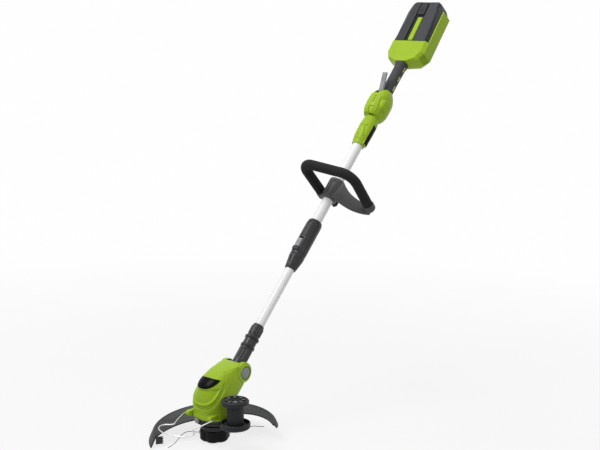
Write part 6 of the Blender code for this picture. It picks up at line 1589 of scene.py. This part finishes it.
class TRIMMER_OT_battery(PieceOperator):
    """Mould the battery's cradle, case, bright rib and latch"""
    bl_idname = "trimmer.battery"
    bl_label = "Battery"

    def execute(self, context):
        seam = [block((0.0613, -0.0052, 0.065), (0.064, -0.0043, 0.16)),
                block((-0.064, -0.03, 0.0645), (-0.056, -0.0032, 0.18))]
        grooves = [block((-0.08, 0.0384, height), (0.08, 0.05, height + 0.0012))
                   for height in (0.06, 0.15)]
        screws = [shift(x, 0.039, height) @ spin(-90, "X")
                  for x in (-0.044, 0.044) for height in (0.045, 0.163)]
        holes = [placed(disc(0.0036, -0.0014, 0.01), place) for place in screws]
        rear = cut(cad_copy("battery_housing_rear"),
                   *[placed(mesh, BATTERY) for mesh in (self.vents(), *seam, *grooves, *holes)])
        heads = [placed(cross_screw(0.0031, 0.0009), BATTERY, place @ shift(0.0, 0.0, -0.001))
                 for place in screws]
        add_piece("cradle_screws", joined(heads), (), "dark_steel", "handle")
        front = cut(cad_copy("battery_housing_front"), placed(self.vents(), BATTERY))
        for word, mesh in (("rear", rear), ("front", front)):
            add_piece("cradle_" + word, mesh, "battery_housing_" + word, rounding=0.0014,
                      segments=3, angle=24.0)
        add_piece("pack_case", cad_copy("battery_case"), "battery_case", rounding=0.0011,
                  segments=3, angle=30.0)
        add_piece("pack_rib", cad_copy("battery_rib"), "battery_rib", rounding=0.0009, angle=24.0)
        lines = [placed(block((-0.012, -0.03, height), (0.004, -0.0187, height + 0.001)), BATTERY)
                 for height in (0.166, 0.1685, 0.171, 0.1735, 0.176)]
        add_piece("pack_latch", cut(cad_copy("battery_latch"), *lines), "battery_latch",
                  rounding=0.0006, angle=24.0)
        return {"FINISHED"}

    @staticmethod
    def vents():
        """Make the slots of the lower right shoulder as one cutter."""
        slot = placed(block((-0.0022, -0.0011, -0.0085), (0.003, 0.0011, 0.0085)), spin(27.3, "Y"))
        return repeated(slot, "row", "lime_plastic", Count=sizes().vent_count,
                        Start=(0.056, -0.0085, 0.0182), Step=(0.0, 0.0049, 0.0))


class TRIMMER_OT_stage(PieceOperator):
    """Set the floor, the light and the camera"""
    bl_idname = "trimmer.stage"
    bl_label = "Stage"

    def execute(self, context):
        make_floor()
        make_world()
        make_lights()
        make_camera()
        context.scene.view_settings.view_transform = "Standard"
        return {"FINISHED"}


FLOOR_REACH = 400.0
FLOOR_DROP = -0.0004
ROOM_LIGHT = 0.3
LAMPS = [("key", (-0.7, -1.0, 2.9), 1.6, 51.0), ("overhead", (0.4, 0.9, 3.0), 1.8, 14.0),
         ("right", (2.6, -0.1, 1.7), 0.8, 5.5)]

# The camera that was fitted to the photograph
CAMERA_PLACE = (2.0056, -2.0622, 1.0767)
CAMERA_RIGHT = Vector((0.76526737, 0.64371256, 0.0))
CAMERA_UP = Vector((-0.11971996, 0.14232715, 0.98255286))
CAMERA_LENS = 74.29


def white_to_camera(look, surface):
    """Return a factor that is 1 where the camera, gloss or glass sees a surface."""
    rays = [look.node("ShaderNodeLightPath", {}, {}, kind) for kind in
            ("Is Camera Ray", "Is Glossy Ray", "Is Transmission Ray")]
    seen = rays[0] + rays[1] + rays[2]
    return look.node("ShaderNodeClamp", {}, {"Value": seen}) * surface


def make_floor():
    """Lay a plain pale floor that looks white and keeps the object's shadow."""
    body = bmesh.new()
    bmesh.ops.create_grid(body, x_segments=1, y_segments=1, size=FLOOR_REACH)
    mesh = bpy.data.meshes.new("floor")
    body.to_mesh(mesh)
    body.free()
    floor = bpy.data.objects.new("floor", mesh)
    floor.location = (0.0, 0.0, FLOOR_DROP)
    bpy.context.scene.collection.objects.link(floor)
    look = Look("floor_white", base_color=(0.8, 0.8, 0.8, 1.0), roughness=0.9,
                specular_ior_level=0.0)
    glow = look.node("ShaderNodeEmission", {}, {"Color": (1.0, 1.0, 1.0, 1.0), "Strength": 1.0})
    plain = Wire(look, look.shader.outputs[0])
    far = look.node("ShaderNodeVectorMath", {"operation": "LENGTH"}, {0: look.where}, "Value")
    shine = white_to_camera(look, far.above(0.5, 2.4) * 0.19 + 0.8)
    both = look.node("ShaderNodeMixShader", {}, {0: shine, 1: plain, 2: glow})
    output = look.tree.nodes["Material Output"]
    look.tree.links.new(both.socket, output.inputs["Surface"])
    mesh.materials.append(look.material)


def make_world():
    """Light everything evenly from a pale room that looks white to the camera."""
    world = bpy.data.worlds.new("pale_room")
    world.use_nodes = True
    tree = world.node_tree
    back = tree.nodes["Background"]
    back.inputs["Color"].default_value = (1.0, 1.0, 1.0, 1.0)
    path = tree.nodes.new("ShaderNodeLightPath").outputs
    seen = path["Is Camera Ray"]
    for kind in ("Is Glossy Ray", "Is Transmission Ray"):
        both = tree.nodes.new("ShaderNodeMath")
        tree.links.new(seen, both.inputs[0])
        tree.links.new(path[kind], both.inputs[1])
        seen = both.outputs[0]
    level = tree.nodes.new("ShaderNodeMix")
    level.inputs[2].default_value = ROOM_LIGHT
    level.inputs[3].default_value = 1.0
    tree.links.new(seen, level.inputs[0])
    tree.links.new(level.outputs[0], back.inputs["Strength"])
    bpy.context.scene.world = world


def make_lights():
    """Hang the soft lamps, by name, place, size and watts, and aim them at the object's middle."""
    middle = Vector((0.0, 0.4, 0.55))
    for name, place, size, power in LAMPS:
        lamp = bpy.data.lights.new(name, "AREA")
        lamp.shape = "DISK"
        lamp.size = size
        lamp.energy = power
        item = bpy.data.objects.new("lamp_" + name, lamp)
        item.location = place
        item.rotation_euler = (middle - Vector(place)).to_track_quat("-Z", "Y").to_euler()
        bpy.context.scene.collection.objects.link(item)


def make_camera():
    """Stand the camera where the photograph was taken from."""
    turn = Matrix((CAMERA_RIGHT, CAMERA_UP, CAMERA_RIGHT.cross(CAMERA_UP))).transposed().to_4x4()
    lens = bpy.data.cameras.new("camera")
    lens.lens = CAMERA_LENS
    lens.sensor_width = 36.0
    camera = bpy.data.objects.new("camera", lens)
    camera.matrix_world = shift(*CAMERA_PLACE) @ turn
    bpy.context.scene.collection.objects.link(camera)
    bpy.context.scene.camera = camera


OPERATORS = (TRIMMER_OT_finishes, TRIMMER_OT_head, TRIMMER_OT_pivot, TRIMMER_OT_pole,
             TRIMMER_OT_guard, TRIMMER_OT_wheel, TRIMMER_OT_spool, TRIMMER_OT_line,
             TRIMMER_OT_handle, TRIMMER_OT_controls, TRIMMER_OT_grip, TRIMMER_OT_battery,
             TRIMMER_OT_stage)


class TRIMMER_PT_panel(bpy.types.Panel):
    """List the pieces in the 3D view's sidebar"""
    bl_idname = "TRIMMER_PT_panel"
    bl_label = "String trimmer"
    bl_space_type = "VIEW_3D"
    bl_region_type = "UI"
    bl_category = "Trimmer"

    def draw(self, context):
        for group in (context.scene.trimmer_sizes, context.scene.trimmer_colours):
            for key in group.bl_rna.properties.keys():
                if key not in ("rna_type", "name"):
                    self.layout.prop(group, key)
        for operator in OPERATORS:
            self.layout.operator(operator.bl_idname)


CLASSES = (TrimmerSizes, TrimmerColours, *OPERATORS, TRIMMER_PT_panel)


def register():
    """Register the classes and hang their settings on the scene."""
    for item in CLASSES:
        bpy.utils.register_class(item)
    bpy.types.Scene.trimmer_sizes = PointerProperty(type=TrimmerSizes)
    bpy.types.Scene.trimmer_colours = PointerProperty(type=TrimmerColours)


def unregister():
    """Take the settings and the classes away again."""
    del bpy.types.Scene.trimmer_colours
    del bpy.types.Scene.trimmer_sizes
    for item in reversed(CLASSES):
        bpy.utils.unregister_class(item)


def main():
    """Make every group of pieces and set the stage."""
    register()
    for operator in OPERATORS:
        area, action = operator.bl_idname.split(".")
        getattr(getattr(bpy.ops, area), action)()


if __name__ == "__main__":
    main()
